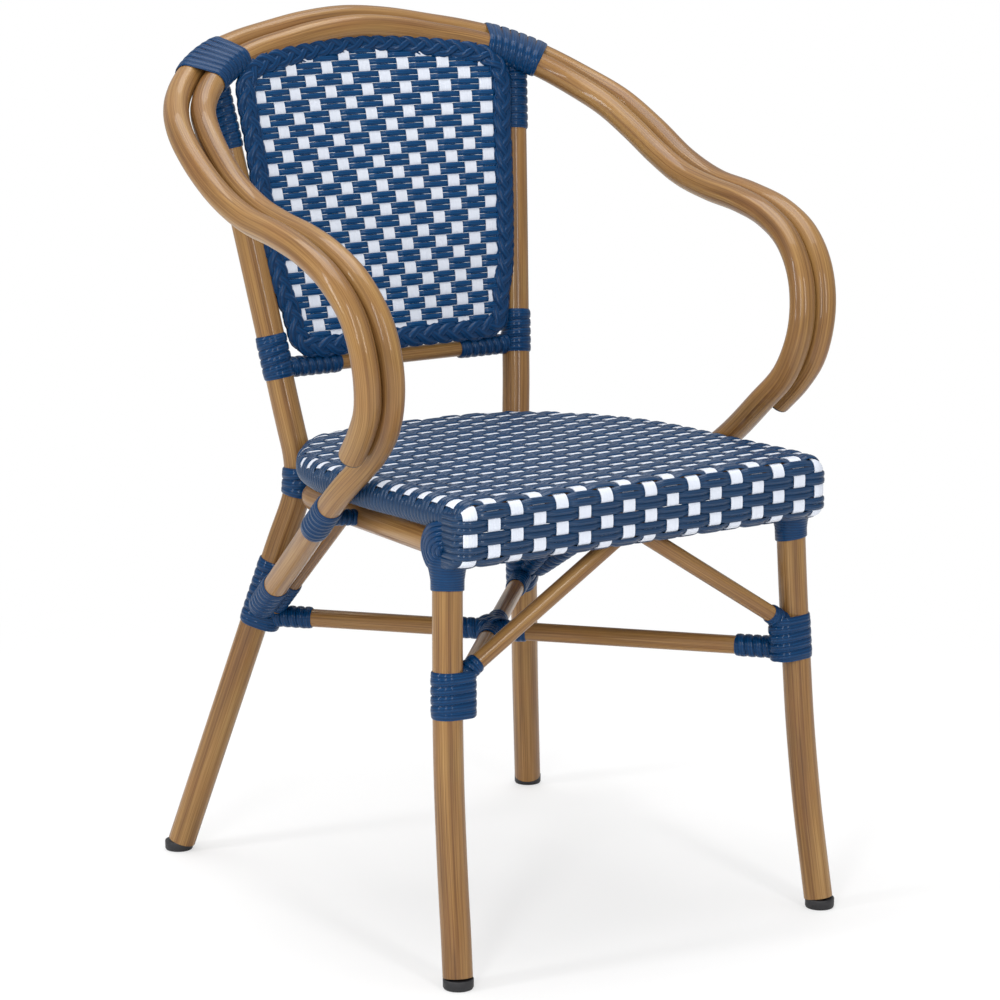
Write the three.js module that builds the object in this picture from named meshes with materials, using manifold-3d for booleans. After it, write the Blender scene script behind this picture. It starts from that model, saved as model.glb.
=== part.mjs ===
// Rattan bistro armchair: a frame of bent tubes bound with flat strand, with a woven seat and back.
// Millimetres, +Z up. The chair faces -Y, and left and right are the viewer's, from the front.
import * as THREE from 'three';
import { mergeVertices } from 'three/addons/utils/BufferGeometryUtils.js';
import Module from 'manifold-3d';

const wasm = await Module();
wasm.setup();

// Driving dimensions of the whole chair
const seatHeight = 450;
const seatFall = 9;
const legDiameter = 28;
const armDiameter = 25;
const railDiameter = 25;
const rimDiameter = 22;
const stretcherDiameter = 18;
const frontBraceDiameter = 16;
const rearBraceDiameter = 16;
const backRailDiameter = 16;
const crossBarDiameter = 14;
const stubDiameter = 14;
const touchGap = 0.3;

// Strand that is woven over the seat rim, and the flat strand of the bindings
const weaveThickness = 2.2;
const strandWidth = 7.4;
const strandThickness = 1.6;

// Hoop: the outer tube's centre line, from the middle of the back to a cut end
const hoopHalfWidth = 273;
const hoopBack = 284;
const hoopDepth = 456;
const hoopTop = 840;
const hoopEndHeight = 480;
const cornerGap = 3;
const plugLength = 14;
const plugHeadLength = 3;
const plugWall = 2;

// Front legs: centre line at the top and at the floor
const frontLegTopInset = 13;
const frontLegTopFront = 206;
const frontLegSplay = 16;
const frontLegFootFront = 246;

// Rear legs: the post's top, the waist behind the seat, and the foot
const postTopShare = 178 / 273;
const postTopBack = 243;
const postTopDrop = 50;
const waistHalf = 131;
const waistBack = 165;
const waistHeight = 404;
const rearFootHalf = 217;
const rearFootBack = 269;

// Foot caps
const capHeight = 10;
const capChamfer = 2;
const capProud = 0.3;
const spigotLength = 16;
const spigotDiameter = 18;

// Seat: half width and front of the woven seat, its corners and its apron
const seatHalfWidth = 208;
const seatFront = 250;
const seatBack = 174.5;
const rimCornerRadius = 16;
const apronHeight = 55.5;
const spacerDiameter = 10;
const spacerHalfSpan = 140;
const crossBarFront = 95;
const crossBarBack = 65;

// Support rail under the seat
const railFrontHeight = 404;
const railRearHeight = 387;
const railRearHalf = 146;
const railBendRadius = 42;

// Where the inner hoop tube passes the seat, and where it lands on the rear leg
const armPassFront = 62;
const armPassHeight = 431;
const armFootRise = 7;
const armFootOut = 3;
const armFootFront = 6;
const stubHeight = 399;

// Braces and stretchers
const stretcherHeight = 255;
const frontBraceFootRise = 20;
const frontBraceTopDrop = 12;
const rearBraceTopBack = 30;
const rearBraceFootRise = 1;
const rearBraceFootIn = 11;
const rearBraceFootFront = 9;

// Back panel: a leaning plane, a trapezoid with an arched top
const panelArchDrop = 22.5;
const panelArchRise = 33.5;
const panelPostGap = 21;
const panelShoulderShare = 150 / 273;
const panelCornerRadius = 22;
const panelLead = 8.8;
const panelBow = 23;
const panelBowPower = 1.5;
const borderWidth = 16;
const borderThickness = 8.6;
const borderWall = 1.6;
const borderChamfer = 4;
const panelRodDiameter = 4;
const wovenThickness = 3.4;
const backRailHeight = 506;

// Bindings: turns and pitch of each. Its middle is a rise from the height, or an inset from the end, of
// the joint that it covers.
// Slack is how much looser the strand lies where the tube bends sharply.
const hoopBinding = { turns: 5, pitch: 10.2, slack: 0.7 };
const postTopBinding = { turns: 5, pitch: 8.8, rise: -46 };
const postLowBinding = { turns: 4, pitch: 8.8, rise: 14 };
const backRailBinding = { turns: 4, pitch: 8.8, inset: 41 };
const seatRearBinding = { turns: 2, pitch: 10, rise: 7, slack: 1 };
const armBinding = { turns: 6, pitch: 8.5, rise: -1 };
const armEndBinding = { turns: 2, pitch: 8.6, inset: 58 };
const rearLegBinding = { turns: 6, pitch: 8.8, rise: 20 };
const frontLegBinding = { turns: 4, pitch: 8.8, rise: 9 };
const frontTopBinding = { turns: 2, pitch: 8.2, rise: -26 };
const crossBinding = { turns: 6, pitch: 8.8 };
const stretcherBinding = { turns: 3, pitch: 8.6, inset: 40 };

// Cheek rosettes: oval pads of coiled strand on the outside of the front corners
const rosetteHalfLength = 23;
const rosetteHalfHeight = 18;
const rosetteSetBack = 3;
const rosetteHeight = 410;
const rosetteThickness = 3.6;
const rosetteRidge = 1.4;
const rosetteRings = 4;

// How finely round things are divided
const TUBE_SIDES = 10;
const LOOP_STEPS = 8;
const capSides = 16;
const RIM_STATIONS = 40;
const BORDER_STATIONS = 36;

// Radii and heights that follow from the sizes above
const legRadius = legDiameter / 2;
const armRadius = armDiameter / 2;
const railRadius = railDiameter / 2;
const rimRadius = rimDiameter / 2;
const sleeveRadius = rimRadius + touchGap + weaveThickness;
const rimHalf = seatHalfWidth - sleeveRadius;
const rimFront = seatFront - sleeveRadius;
const rimBack = seatBack - sleeveRadius;
const rimHeight = seatHeight - sleeveRadius;
const apronRailHeight = seatHeight - apronHeight + sleeveRadius;
const hoopPitch = armDiameter + touchGap;
const hoopDrop = hoopTop - hoopEndHeight;
const postTopHalf = hoopHalfWidth * postTopShare;
const frontLegTopHalf = seatHalfWidth - frontLegTopInset;
const frontLegFootHalf = frontLegTopHalf + frontLegSplay;
const postTopHeight = hoopTop - postTopDrop;
const panelArch = hoopTop - panelArchDrop;
const panelShoulder = panelArch - panelArchRise;
const panelShoulderHalf = hoopHalfWidth * panelShoulderShare;
const armFootHeight = stretcherHeight + armFootRise;
const frontBraceFootHeight = stretcherHeight + frontBraceFootRise;
const rearBraceFootHeight = stretcherHeight + rearBraceFootRise;
const footCapRadius = legRadius + capProud;
const planCentre = (hoopBack + armRadius - frontLegFootFront - footCapRadius) / 2;

// Colours, roughness and metalness of the real finishes
const bamboo = new THREE.MeshStandardMaterial({ color: 0xa57d4b, roughness: 0.38, metalness: 0.0 });
const blueStrand = new THREE.MeshStandardMaterial({ color: 0x1e4b82, roughness: 0.35, metalness: 0.0 });
const blueWhiteWeave = new THREE.MeshStandardMaterial({ color: 0x6f8fb8, roughness: 0.4, metalness: 0.0 });
const blackPlastic = new THREE.MeshStandardMaterial({ color: 0x17171a, roughness: 0.55, metalness: 0.0 });

const chair = new THREE.Group();
chair.position.y = -planCentre;

function addPiece(name, geometry, material) {
  const mesh = new THREE.Mesh(geometry, material);
  mesh.name = name;
  chair.add(mesh);
}

const point = (x, y, z) => new THREE.Vector3(x, y, z);
const mix = (a, b, share) => a + (b - a) * share;
const sideName = (side) => (side < 0 ? 'left' : 'right');

// The seat falls a little to the rear, and everything in it falls with it
const seatDrop = (y) => (seatFall * (y + rimFront)) / (rimFront + rimBack);
const layOnSeat = (geometry) => {
  const position = geometry.attributes.position;
  for (let i = 0; i < position.count; i++) {
    position.setZ(i, position.getZ(i) - seatDrop(position.getY(i)));
  }
  return geometry;
};

// Booleans: closed meshes with shared corners go in and come back
function toSolid(geometry) {
  const bare = geometry.clone();
  bare.deleteAttribute('normal');
  bare.deleteAttribute('uv');
  const merged = mergeVertices(bare);
  const vertProperties = Float32Array.from(merged.attributes.position.array);
  const triVerts = Uint32Array.from(merged.index.array);
  return new wasm.Manifold(new wasm.Mesh({ numProp: 3, vertProperties, triVerts }));
}

function toGeometry(solid) {
  const mesh = solid.getMesh();
  const geometry = new THREE.BufferGeometry();
  geometry.setAttribute('position', new THREE.BufferAttribute(Float32Array.from(mesh.vertProperties), 3));
  geometry.setIndex(new THREE.BufferAttribute(Uint32Array.from(mesh.triVerts), 1));
  return geometry;
}

const cut = (geometry, ...tools) =>
  toGeometry(tools.reduce((solid, tool) => solid.subtract(toSolid(tool)), toSolid(geometry)));
const join = (...geometries) => toGeometry(geometries.map(toSolid).reduce((a, b) => a.add(b)));

// A round section with its corners on the circle
function roundSection(radius, sides = TUBE_SIDES) {
  const corners = [];
  for (let i = 0; i < sides; i++) {
    const angle = (2 * Math.PI * (i + 0.5)) / sides;
    corners.push(new THREE.Vector2(radius * Math.cos(angle), radius * Math.sin(angle)));
  }
  return corners;
}

function tube(path, radius, steps, sides = TUBE_SIDES) {
  const shape = new THREE.Shape(roundSection(radius, sides));
  return new THREE.ExtrudeGeometry(shape, { steps, extrudePath: path });
}

const smoothPath = (points) => new THREE.CatmullRomCurve3(points, false, 'centripetal');
const straightPath = (from, to) => new THREE.LineCurve3(from, to);

// A tube seated on another keeps this distance from the other's centre line
const clearOf = (radius, sides = TUBE_SIDES) => (radius + touchGap) / Math.cos(Math.PI / sides);
const windingInner = (radius) => clearOf(radius, LOOP_STEPS);
const windingOuter = (radius) => windingInner(radius) + strandThickness;
const clearOfWinding = (radius) => clearOf(windingOuter(radius));

// A section carried through stations; each station has its place and the section's two directions
function sweep(stations, section, closed = false) {
  const across = stations[0].u.clone().cross(stations[0].v);
  const forward = stations[1].at.clone().sub(stations[0].at);
  const ordered = across.dot(forward) > 0 ? section : [...section].reverse();
  const positions = [];
  for (const { at, u, v } of stations) {
    for (const corner of ordered) {
      const place = at.clone().addScaledVector(u, corner.x).addScaledVector(v, corner.y);
      positions.push(place.x, place.y, place.z);
    }
  }
  const size = ordered.length;
  const rings = stations.length;
  const index = [];
  for (let i = 0; i < (closed ? rings : rings - 1); i++) {
    const next = (i + 1) % rings;
    for (let k = 0; k < size; k++) {
      const beside = (k + 1) % size;
      index.push(i * size + k, i * size + beside, next * size + beside);
      index.push(i * size + k, next * size + beside, next * size + k);
    }
  }
  if (!closed) {
    const caps = THREE.ShapeUtils.triangulateShape(ordered, []);
    const last = (rings - 1) * size;
    for (const [a, b, c] of caps) {
      index.push(c, b, a);
      index.push(last + a, last + b, last + c);
    }
  }
  const geometry = new THREE.BufferGeometry();
  geometry.setAttribute('position', new THREE.Float32BufferAttribute(positions, 3));
  geometry.setIndex(index);
  return geometry;
}

// Least distance between points of a winding that lie half a turn or more apart along it
function leastSelfGap(geometry, ringSize) {
  const position = geometry.attributes.position;
  const apart = (LOOP_STEPS / 2) * ringSize;
  const a = new THREE.Vector3();
  const b = new THREE.Vector3();
  let least = Infinity;
  for (let i = 0; i < position.count; i++) {
    a.fromBufferAttribute(position, i);
    for (let k = i + apart; k < position.count; k++) {
      b.fromBufferAttribute(position, k);
      least = Math.min(least, a.distanceTo(b));
    }
  }
  return least;
}

// One unbroken flat strand wound round a tube, or round two tubes that lie side by side.
// middle is the binding's middle along the path; besideAt gives the direction from one tube to the
// other, and spread is half the distance of their centre lines.
const loopPhase = LOOP_STEPS % 4 === 0 ? Math.PI / LOOP_STEPS : 0;
function wind(name, path, middle, { turns, pitch, slack = 0 }, radius, besideAt, spread = 0) {
  const length = path.getLength();
  const reach = windingInner(radius + slack) + strandThickness / 2;
  const stations = [];
  for (let i = 0; i <= turns * LOOP_STEPS; i++) {
    const turn = i / LOOP_STEPS;
    const share = (middle + (turn - turns / 2) * pitch) / length;
    const along = path.getTangentAt(share);
    const towards = besideAt(share);
    const beside = towards.addScaledVector(along, -towards.dot(along)).normalize();
    const above = along.clone().cross(beside);
    const angle = 2 * Math.PI * turn + loopPhase;
    const outward = beside.clone().multiplyScalar(Math.cos(angle)).addScaledVector(above, Math.sin(angle));
    const at = path.getPointAt(share).addScaledVector(outward, reach);
    at.addScaledVector(beside, Math.sign(Math.cos(angle)) * spread);
    stations.push({ at, u: along, v: outward });
  }
  const halfWidth = strandWidth / 2;
  const halfThickness = strandThickness / 2;
  const section = [
    new THREE.Vector2(-halfWidth, -halfThickness),
    new THREE.Vector2(halfWidth, -halfThickness),
    new THREE.Vector2(halfWidth, halfThickness),
    new THREE.Vector2(-halfWidth, halfThickness),
  ];
  const geometry = sweep(stations, section);
  console.log(`${name}: least gap to itself ${leastSelfGap(geometry, section.length).toFixed(2)} mm`);
  addPiece(name, geometry, blueStrand);
}

// Share of a path's length, between two shares, at which it comes nearest to a height
function shareAtHeight(path, height, from = 0, to = 1) {
  const samples = 240;
  let best = from;
  for (let i = 0; i <= samples; i++) {
    const share = mix(from, to, i / samples);
    const gap = Math.abs(path.getPointAt(share).z - height);
    if (gap < Math.abs(path.getPointAt(best).z - height)) best = share;
  }
  return best;
}
const pointAtHeight = (path, height) => path.getPointAt(shareAtHeight(path, height));

// Hoop. Shares of the half width, of the depth forward from the back, and of the drop from the top.
const hoopShares = [
  [0, 0, 0],
  [0.176, 0.002, 0.01],
  [0.348, 0.012, 0.032],
  [0.502, 0.031, 0.054],
  [0.641, 0.061, 0.083],
  [0.769, 0.11, 0.128],
  [0.879, 0.178, 0.186],
  [0.952, 0.265, 0.244],
  [0.985, 0.362, 0.314],
  [0.993, 0.478, 0.392],
  [0.995, 0.592, 0.439],
  [1, 0.715, 0.461],
  [1.002, 0.825, 0.492],
  [0.993, 0.914, 0.546],
  [0.974, 0.976, 0.631],
  [0.956, 1.001, 0.739],
  [0.934, 0.989, 0.858],
  [0.919, 0.95, 0.933],
  [0.901, 0.897, 1],
];
const hoopBindingShare = 0.68;
const cornerGapShare = 0.3;
const cornerSpreadShare = 0.14;
const backLeanShare = 0.33;
const backBlendPower = 1.7;

const hoopPoint = (side, [x, y, z]) =>
  point(side * hoopHalfWidth * x, hoopBack - hoopDepth * y, hoopTop - hoopDrop * z);
const hoopHalf = (side) => hoopShares.map((shares) => hoopPoint(side, shares));
const outerPath = smoothPath([...hoopHalf(-1).reverse(), ...hoopHalf(1).slice(1)]);
outerPath.arcLengthDivisions = 800;

// Direction from the outer tube to the inner one: forward and down at the back, inward along the arms
function inwardAt(at, along) {
  const back = Math.pow(Math.max(at.y, 0) / hoopBack, backBlendPower);
  const inward = point(-at.x / hoopHalfWidth, -back, -backLeanShare * back);
  return inward.addScaledVector(along, -inward.dot(along)).normalize();
}

// The inner tube opens away from the outer one a little at each rear corner
function innerPointAt(share) {
  const at = outerPath.getPointAt(share);
  const along = outerPath.getTangentAt(share);
  const depthShare = (hoopBack - at.y) / hoopDepth;
  const opening = cornerGap * Math.max(0, 1 - Math.abs(depthShare - cornerGapShare) / cornerSpreadShare);
  return at.clone().addScaledVector(inwardAt(at, along), hoopPitch + opening);
}

const armPassHalf = seatHalfWidth + armRadius + 2 * touchGap;
const besideSteps = 36;
const innerBeside = [];
for (let i = 0; i <= besideSteps; i++) {
  innerBeside.push(innerPointAt(i / besideSteps));
}

// Rear leg: shares of the way from the waist up to the post's top, and down to the foot
const postShares = [
  [0.021, 0.03, 0.054],
  [0.07, 0.072, 0.098],
  [0.153, 0.141, 0.171],
  [0.311, 0.299, 0.329],
  [0.604, 0.594, 0.619],
  [1, 1, 1],
];
const rearLegShares = [
  [0.014, 0, 0.045],
  [0.04, 0.012, 0.074],
  [0.071, 0.034, 0.101],
  [0.155, 0.102, 0.168],
  [0.3, 0.241, 0.304],
  [0.455, 0.409, 0.458],
  [0.651, 0.629, 0.656],
  [1, 1, 1],
];
const waistPoint = (side, x, y, z) => point(side * mix(waistHalf, x[0], x[1]), mix(waistBack, y[0], y[1]),
  mix(waistHeight, z[0], z[1]));

function rearLegPath(side) {
  const post = postShares.map(([x, y, z]) =>
    waistPoint(side, [postTopHalf, x], [postTopBack, y], [postTopHeight, z]));
  const leg = rearLegShares.map(([x, y, z]) =>
    waistPoint(side, [rearFootHalf, x], [rearFootBack, y], [0, z]));
  const waist = point(side * waistHalf, waistBack, waistHeight);
  return smoothPath([...post.reverse(), waist, ...leg]);
}

// Front leg: shares of the way from the top to the foot
const frontLegShares = [
  [0, 0, 0],
  [0.06, 0.025, 0.06],
  [0.25, 0.13, 0.28],
  [0.4, 0.225, 0.43],
  [0.53, 0.36, 0.59],
  [0.7, 0.6, 0.77],
  [0.85, 0.82, 0.895],
  [1, 1, 1],
];

function frontLegPath(side) {
  const top = rimHeight;
  return smoothPath(frontLegShares.map(([x, y, z]) =>
    point(side * mix(frontLegTopHalf, frontLegFootHalf, x), -mix(frontLegTopFront, frontLegFootFront, y),
      mix(top, 0, z))));
}

const rearLegPaths = { left: rearLegPath(-1), right: rearLegPath(1) };
const frontLegPaths = { left: frontLegPath(-1), right: frontLegPath(1) };

// The inner hoop tube: beside the outer one, then past the seat and down to the rear legs
function armFoot(side) {
  const leg = pointAtHeight(rearLegPaths[sideName(side)], armFootHeight);
  return leg.add(point(side * armFootOut, -armFootFront, 0));
}
const armPass = (side) => point(side * armPassHalf, -armPassFront, armPassHeight);
const armHalfway = (side) => armPass(side).lerp(armFoot(side), 0.5);
const innerPath = smoothPath([
  armFoot(-1), armHalfway(-1), armPass(-1),
  ...innerBeside,
  armPass(1), armHalfway(1), armFoot(1),
]);
innerPath.arcLengthDivisions = 1000;

// Where the inner hoop tube reaches a height on its way down past the seat
const armTailShare = 0.17;
const armShareAt = (side, height) =>
  side < 0 ? shareAtHeight(innerPath, height, 0, armTailShare) : shareAtHeight(innerPath, height, 1 - armTailShare, 1);

const outerSteps = 52;
const innerSteps = 72;
const legSteps = 28;
const frontLegSteps = 10;

// A cut end of the outer tube has a shallow bore that its plug's stem fills
function hoopBore(share, inward) {
  const end = outerPath.getPointAt(share);
  const along = outerPath.getTangentAt(share).multiplyScalar(inward);
  const from = end.clone().addScaledVector(along, -plugHeadLength);
  return straightPath(from, end.clone().addScaledVector(along, plugLength));
}
const boreRadius = armRadius - plugWall;
const hoopBores = [hoopBore(0, 1), hoopBore(1, -1)];
const boreTools = hoopBores.map((path) => tube(path, boreRadius, 1));
addPiece('hoop_outer', cut(tube(outerPath, armRadius, outerSteps), ...boreTools), bamboo);

function hoopPlug(name, bore) {
  const head = bore.getPoint(0);
  const along = bore.getTangent(0);
  const rim = head.clone().addScaledVector(along, plugHeadLength - touchGap);
  const stemEnd = head.clone().addScaledVector(along, plugHeadLength + plugLength - 2 * touchGap);
  const stemFrom = rim.clone().addScaledVector(along, -touchGap);
  const cap = tube(straightPath(head, rim), armRadius - touchGap, 1);
  const stem = tube(straightPath(stemFrom, stemEnd), boreRadius - touchGap, 1);
  addPiece(name, join(cap, stem), blackPlastic);
}
hoopPlug('hoop_plug_left', hoopBores[0]);
hoopPlug('hoop_plug_right', hoopBores[1]);

const legBindingTool = (path) => tube(path, clearOfWinding(legRadius), legSteps);
const innerHoop = tube(innerPath, armRadius, innerSteps);
addPiece('hoop_inner', cut(innerHoop, legBindingTool(rearLegPaths.left), legBindingTool(rearLegPaths.right)),
  bamboo);

// Spine of a hoop binding, midway between the two tubes, with the direction from one to the other
const hoopBindingLength = hoopBinding.turns * hoopBinding.pitch;
const spineOverrunShare = 0.25;
const spineSteps = 10;
function hoopBindingSpine(side) {
  const samples = 400;
  let centre = 0.5;
  for (let i = 0; i <= samples; i++) {
    const share = mix(0.5, side < 0 ? 0 : 1, i / samples);
    if (Math.abs(outerPath.getPointAt(share).x) > hoopBindingShare * hoopHalfWidth) break;
    centre = share;
  }
  const reach = (hoopBindingLength * (0.5 + spineOverrunShare)) / outerPath.getLength();
  const outerShare = (share) => centre + mix(-reach, reach, share);
  const points = [];
  for (let i = 0; i <= spineSteps; i++) {
    const share = outerShare(i / spineSteps);
    points.push(outerPath.getPointAt(share).lerp(innerPointAt(share), 0.5));
  }
  const besideAt = (share) =>
    innerPointAt(outerShare(share)).sub(outerPath.getPointAt(outerShare(share))).normalize();
  return { path: smoothPath(points), besideAt };
}
const hoopSpines = { left: hoopBindingSpine(-1), right: hoopBindingSpine(1) };

// What the post's top is cut to: the binding's outside, flat over the valley of the two tubes
function hoopBindingTool({ path, besideAt }) {
  const reach = clearOfWinding(armRadius + hoopBinding.slack);
  const stations = [];
  for (let i = 0; i <= spineSteps; i++) {
    const along = path.getTangentAt(i / spineSteps);
    const towards = besideAt(i / spineSteps);
    const beside = towards.addScaledVector(along, -towards.dot(along)).normalize();
    stations.push({ at: path.getPointAt(i / spineSteps), u: beside, v: along.clone().cross(beside) });
  }
  const section = roundSection(reach, LOOP_STEPS).map(({ x, y }) =>
    new THREE.Vector2(x + (Math.sign(x) * hoopPitch) / 2, y));
  return sweep(stations, section);
}

// Legs end flat on their caps, with a blind socket for the cap's spigot
function upright(from, to, radius) {
  const path = straightPath(from, to);
  return tube(path, radius, 1);
}

function footTools(foot) {
  const floorReach = legDiameter;
  const below = upright(point(foot.x, foot.y, -floorReach), point(foot.x, foot.y, capHeight + touchGap), floorReach);
  const socketTop = capHeight + spigotLength + 2 * touchGap;
  const socket = upright(point(foot.x, foot.y, 0), point(foot.x, foot.y, socketTop),
    clearOf(spigotDiameter / 2));
  return [below, socket];
}

function footCap(name, foot) {
  const profile = [
    new THREE.Vector2(0, 0),
    new THREE.Vector2(footCapRadius - capChamfer, 0),
    new THREE.Vector2(footCapRadius, capChamfer),
    new THREE.Vector2(footCapRadius, capHeight),
    new THREE.Vector2(spigotDiameter / 2, capHeight),
    new THREE.Vector2(spigotDiameter / 2, capHeight + spigotLength),
    new THREE.Vector2(0, capHeight + spigotLength),
  ];
  const cap = new THREE.LatheGeometry(profile, capSides);
  cap.rotateX(Math.PI / 2);
  cap.translate(foot.x, foot.y, 0);
  addPiece(name, cap, blackPlastic);
}

// Rim of the seat, all round. Shares of the half width and of the way from front to back.
const rimSideShares = [
  [1, 0.25],
  [1, 0.45],
  [0.987, 0.585],
  [0.943, 0.69],
  [0.864, 0.79],
];
const rimBackShares = [
  [0.44, 0.985],
  [0.25, 0.996],
];
const rimDepth = rimFront + rimBack;
const rimCornerSteps = 3;

// The rear corner of the rim stands against the post
function rimRearCorner(side) {
  const stand = legRadius + sleeveRadius + 2 * touchGap;
  const lean = Math.PI * 0.355;
  return point(side * (waistHalf - stand * Math.cos(lean)), waistBack - stand * Math.sin(lean) + touchGap, 0);
}

function rimHalfPoints(side) {
  const points = [point(side * rimHalf * 0.5, -rimFront, 0)];
  const centreX = rimHalf - rimCornerRadius;
  const centreY = -rimFront + rimCornerRadius;
  for (let i = 0; i <= rimCornerSteps; i++) {
    const angle = (Math.PI / 2) * (i / rimCornerSteps);
    points.push(point(side * (centreX + rimCornerRadius * Math.sin(angle)),
      centreY - rimCornerRadius * Math.cos(angle), 0));
  }
  const onRim = ([x, y]) => point(side * rimHalf * x, -rimFront + rimDepth * y, 0);
  points.push(...rimSideShares.map(onRim), rimRearCorner(side), ...rimBackShares.map(onRim));
  return points;
}

const rimPath = new THREE.CatmullRomCurve3([
  point(0, -rimFront, 0),
  ...rimHalfPoints(1),
  point(0, rimBack, 0),
  ...rimHalfPoints(-1).reverse(),
], true, 'centripetal');
rimPath.arcLengthDivisions = 600;

function rimStations(count) {
  const up = point(0, 0, 1);
  const stations = [];
  for (let i = 0; i < count; i++) {
    const at = rimPath.getPointAt(i / count);
    const outward = rimPath.getTangentAt(i / count).cross(up);
    stations.push({ at: at.setZ(rimHeight), u: outward, v: up });
  }
  return stations;
}

const rimSides = 8;
const rimRing = (radius) => layOnSeat(sweep(rimStations(RIM_STATIONS), roundSection(radius, rimSides), true));
addPiece('seat_rim', rimRing(rimRadius), bamboo);

// The weave goes over the rim and hooks under it, open on the inner side
const sleeveFromDegrees = -110;
const sleeveToDegrees = 100;
const sleeveArcs = 5;
function sleeveArc(radius, from, to) {
  const corners = [];
  for (let i = 0; i <= sleeveArcs; i++) {
    const angle = THREE.MathUtils.degToRad(mix(from, to, i / sleeveArcs));
    corners.push(new THREE.Vector2(radius * Math.cos(angle), radius * Math.sin(angle)));
  }
  return corners;
}
const sleeveInner = clearOf(rimRadius);
const sleeveSection = [
  ...sleeveArc(sleeveRadius, sleeveFromDegrees, sleeveToDegrees),
  ...sleeveArc(sleeveInner, sleeveToDegrees, sleeveFromDegrees),
];

function seatSheet() {
  const outline = rimStations(RIM_STATIONS).map(({ at }) => new THREE.Vector2(at.x, at.y));
  const sheet = new THREE.ExtrudeGeometry(new THREE.Shape(outline), { depth: weaveThickness, bevelEnabled: false });
  sheet.translate(0, 0, seatHeight - weaveThickness);
  return sheet;
}

// Apron: down the front of rim and apron rail, then hooked round behind the rail
const apronArcs = 5;
const apronFromDegrees = 180;
const apronToDegrees = 335;
function apronArc(radius, from, to) {
  const corners = [];
  for (let i = 0; i <= apronArcs; i++) {
    const angle = THREE.MathUtils.degToRad(mix(from, to, i / apronArcs));
    corners.push(new THREE.Vector2(-rimFront + radius * Math.cos(angle), apronRailHeight + radius * Math.sin(angle)));
  }
  return corners;
}

// Extrudes an outline drawn in Y and Z along X
function extrudeAlongX(outline, from, to) {
  const geometry = new THREE.ExtrudeGeometry(new THREE.Shape(outline), { depth: to - from, bevelEnabled: false });
  geometry.rotateX(Math.PI / 2);
  geometry.rotateZ(Math.PI / 2);
  geometry.translate(from, 0, 0);
  return geometry;
}

const apronOutline = [
  new THREE.Vector2(-seatFront, rimHeight),
  ...apronArc(sleeveRadius, apronFromDegrees, apronToDegrees),
  ...apronArc(sleeveInner, apronToDegrees, apronFromDegrees),
  new THREE.Vector2(-rimFront - sleeveInner, rimHeight),
];
const cheekOutline = [
  new THREE.Vector2(-seatFront, rimHeight),
  ...apronArc(sleeveRadius, apronFromDegrees, 360),
  new THREE.Vector2(-rimFront + sleeveRadius, rimHeight),
];
const wovenSeat = layOnSeat(join(
  sweep(rimStations(RIM_STATIONS), sleeveSection, true),
  seatSheet(),
  extrudeAlongX(apronOutline, -seatHalfWidth, seatHalfWidth),
  extrudeAlongX(cheekOutline, seatHalfWidth - weaveThickness, seatHalfWidth),
  extrudeAlongX(cheekOutline, -seatHalfWidth, -seatHalfWidth + weaveThickness),
));
addPiece('woven_seat', wovenSeat, blueWhiteWeave);

// Apron rail, its spacers up to the rim, and the cross bars that span the rim under the weave
const apronRailHalf = seatHalfWidth - weaveThickness - touchGap;
const alongFront = (half, height) =>
  straightPath(point(-half, -rimFront, height), point(half, -rimFront, height));
addPiece('apron_rail', tube(alongFront(apronRailHalf, apronRailHeight), rimRadius, 1), bamboo);
for (const side of [-1, 1]) {
  const x = side * spacerHalfSpan;
  const rod = upright(point(x, -rimFront, apronRailHeight), point(x, -rimFront, rimHeight), spacerDiameter / 2);
  const apronTool = tube(alongFront(seatHalfWidth, apronRailHeight), clearOf(rimRadius), 1);
  addPiece(`apron_spacer_${sideName(side)}`, cut(rod, apronTool, rimRing(clearOf(sleeveRadius, rimSides))), bamboo);
}

// Half width of the rim's centre line where a cross bar meets it
function rimHalfAt(y) {
  const middle = rimPath.getPointAt(0);
  let nearest = middle;
  for (const { at } of rimStations(RIM_STATIONS * 4)) {
    if (at.x > 0 && Math.abs(at.y - y) < Math.abs(nearest.y - y)) nearest = at;
  }
  return nearest.x;
}

function crossBar(name, y) {
  const height = rimHeight - seatDrop(y);
  const half = rimHalfAt(y);
  const path = straightPath(point(-half, y, height), point(half, y, height));
  addPiece(name, cut(tube(path, crossBarDiameter / 2, 1), rimRing(rimRadius + touchGap)), bamboo);
}
crossBar('seat_cross_bar_front', -crossBarFront);
crossBar('seat_cross_bar_rear', crossBarBack);

// Support rail: from one front leg round in front of the rear legs to the other
const railStand = windingOuter(legRadius) + touchGap + clearOf(railRadius);
const bendHalf = railRearHalf - railBendRadius;
const bendBack = waistBack - Math.sqrt((railBendRadius + railStand) ** 2 - (waistHalf - bendHalf) ** 2);
const railBendSteps = 5;
const railSideShares = [0, 0.4, 0.7];

function railHalf(side) {
  const start = point(side * frontLegTopHalf, -frontLegTopFront, railFrontHeight);
  const end = point(side * railRearHalf, bendBack, railRearHeight);
  const points = railSideShares.map((share) => start.clone().lerp(end, share));
  for (let i = 0; i <= railBendSteps; i++) {
    const angle = (Math.PI / 2) * (i / railBendSteps);
    points.push(point(side * (bendHalf + railBendRadius * Math.cos(angle)),
      bendBack + railBendRadius * Math.sin(angle), railRearHeight));
  }
  return points;
}
const railPath = smoothPath([...railHalf(-1), ...railHalf(1).reverse()]);
railPath.arcLengthDivisions = 600;
const railSteps = 34;
const bareFrontLegTool = (side) => tube(frontLegPaths[side], clearOf(legRadius), frontLegSteps);
const rimTool = rimRing(clearOf(sleeveRadius, rimSides));
addPiece('seat_support_rail', cut(tube(railPath, railRadius, railSteps),
  bareFrontLegTool('left'), bareFrontLegTool('right')), bamboo);

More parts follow.
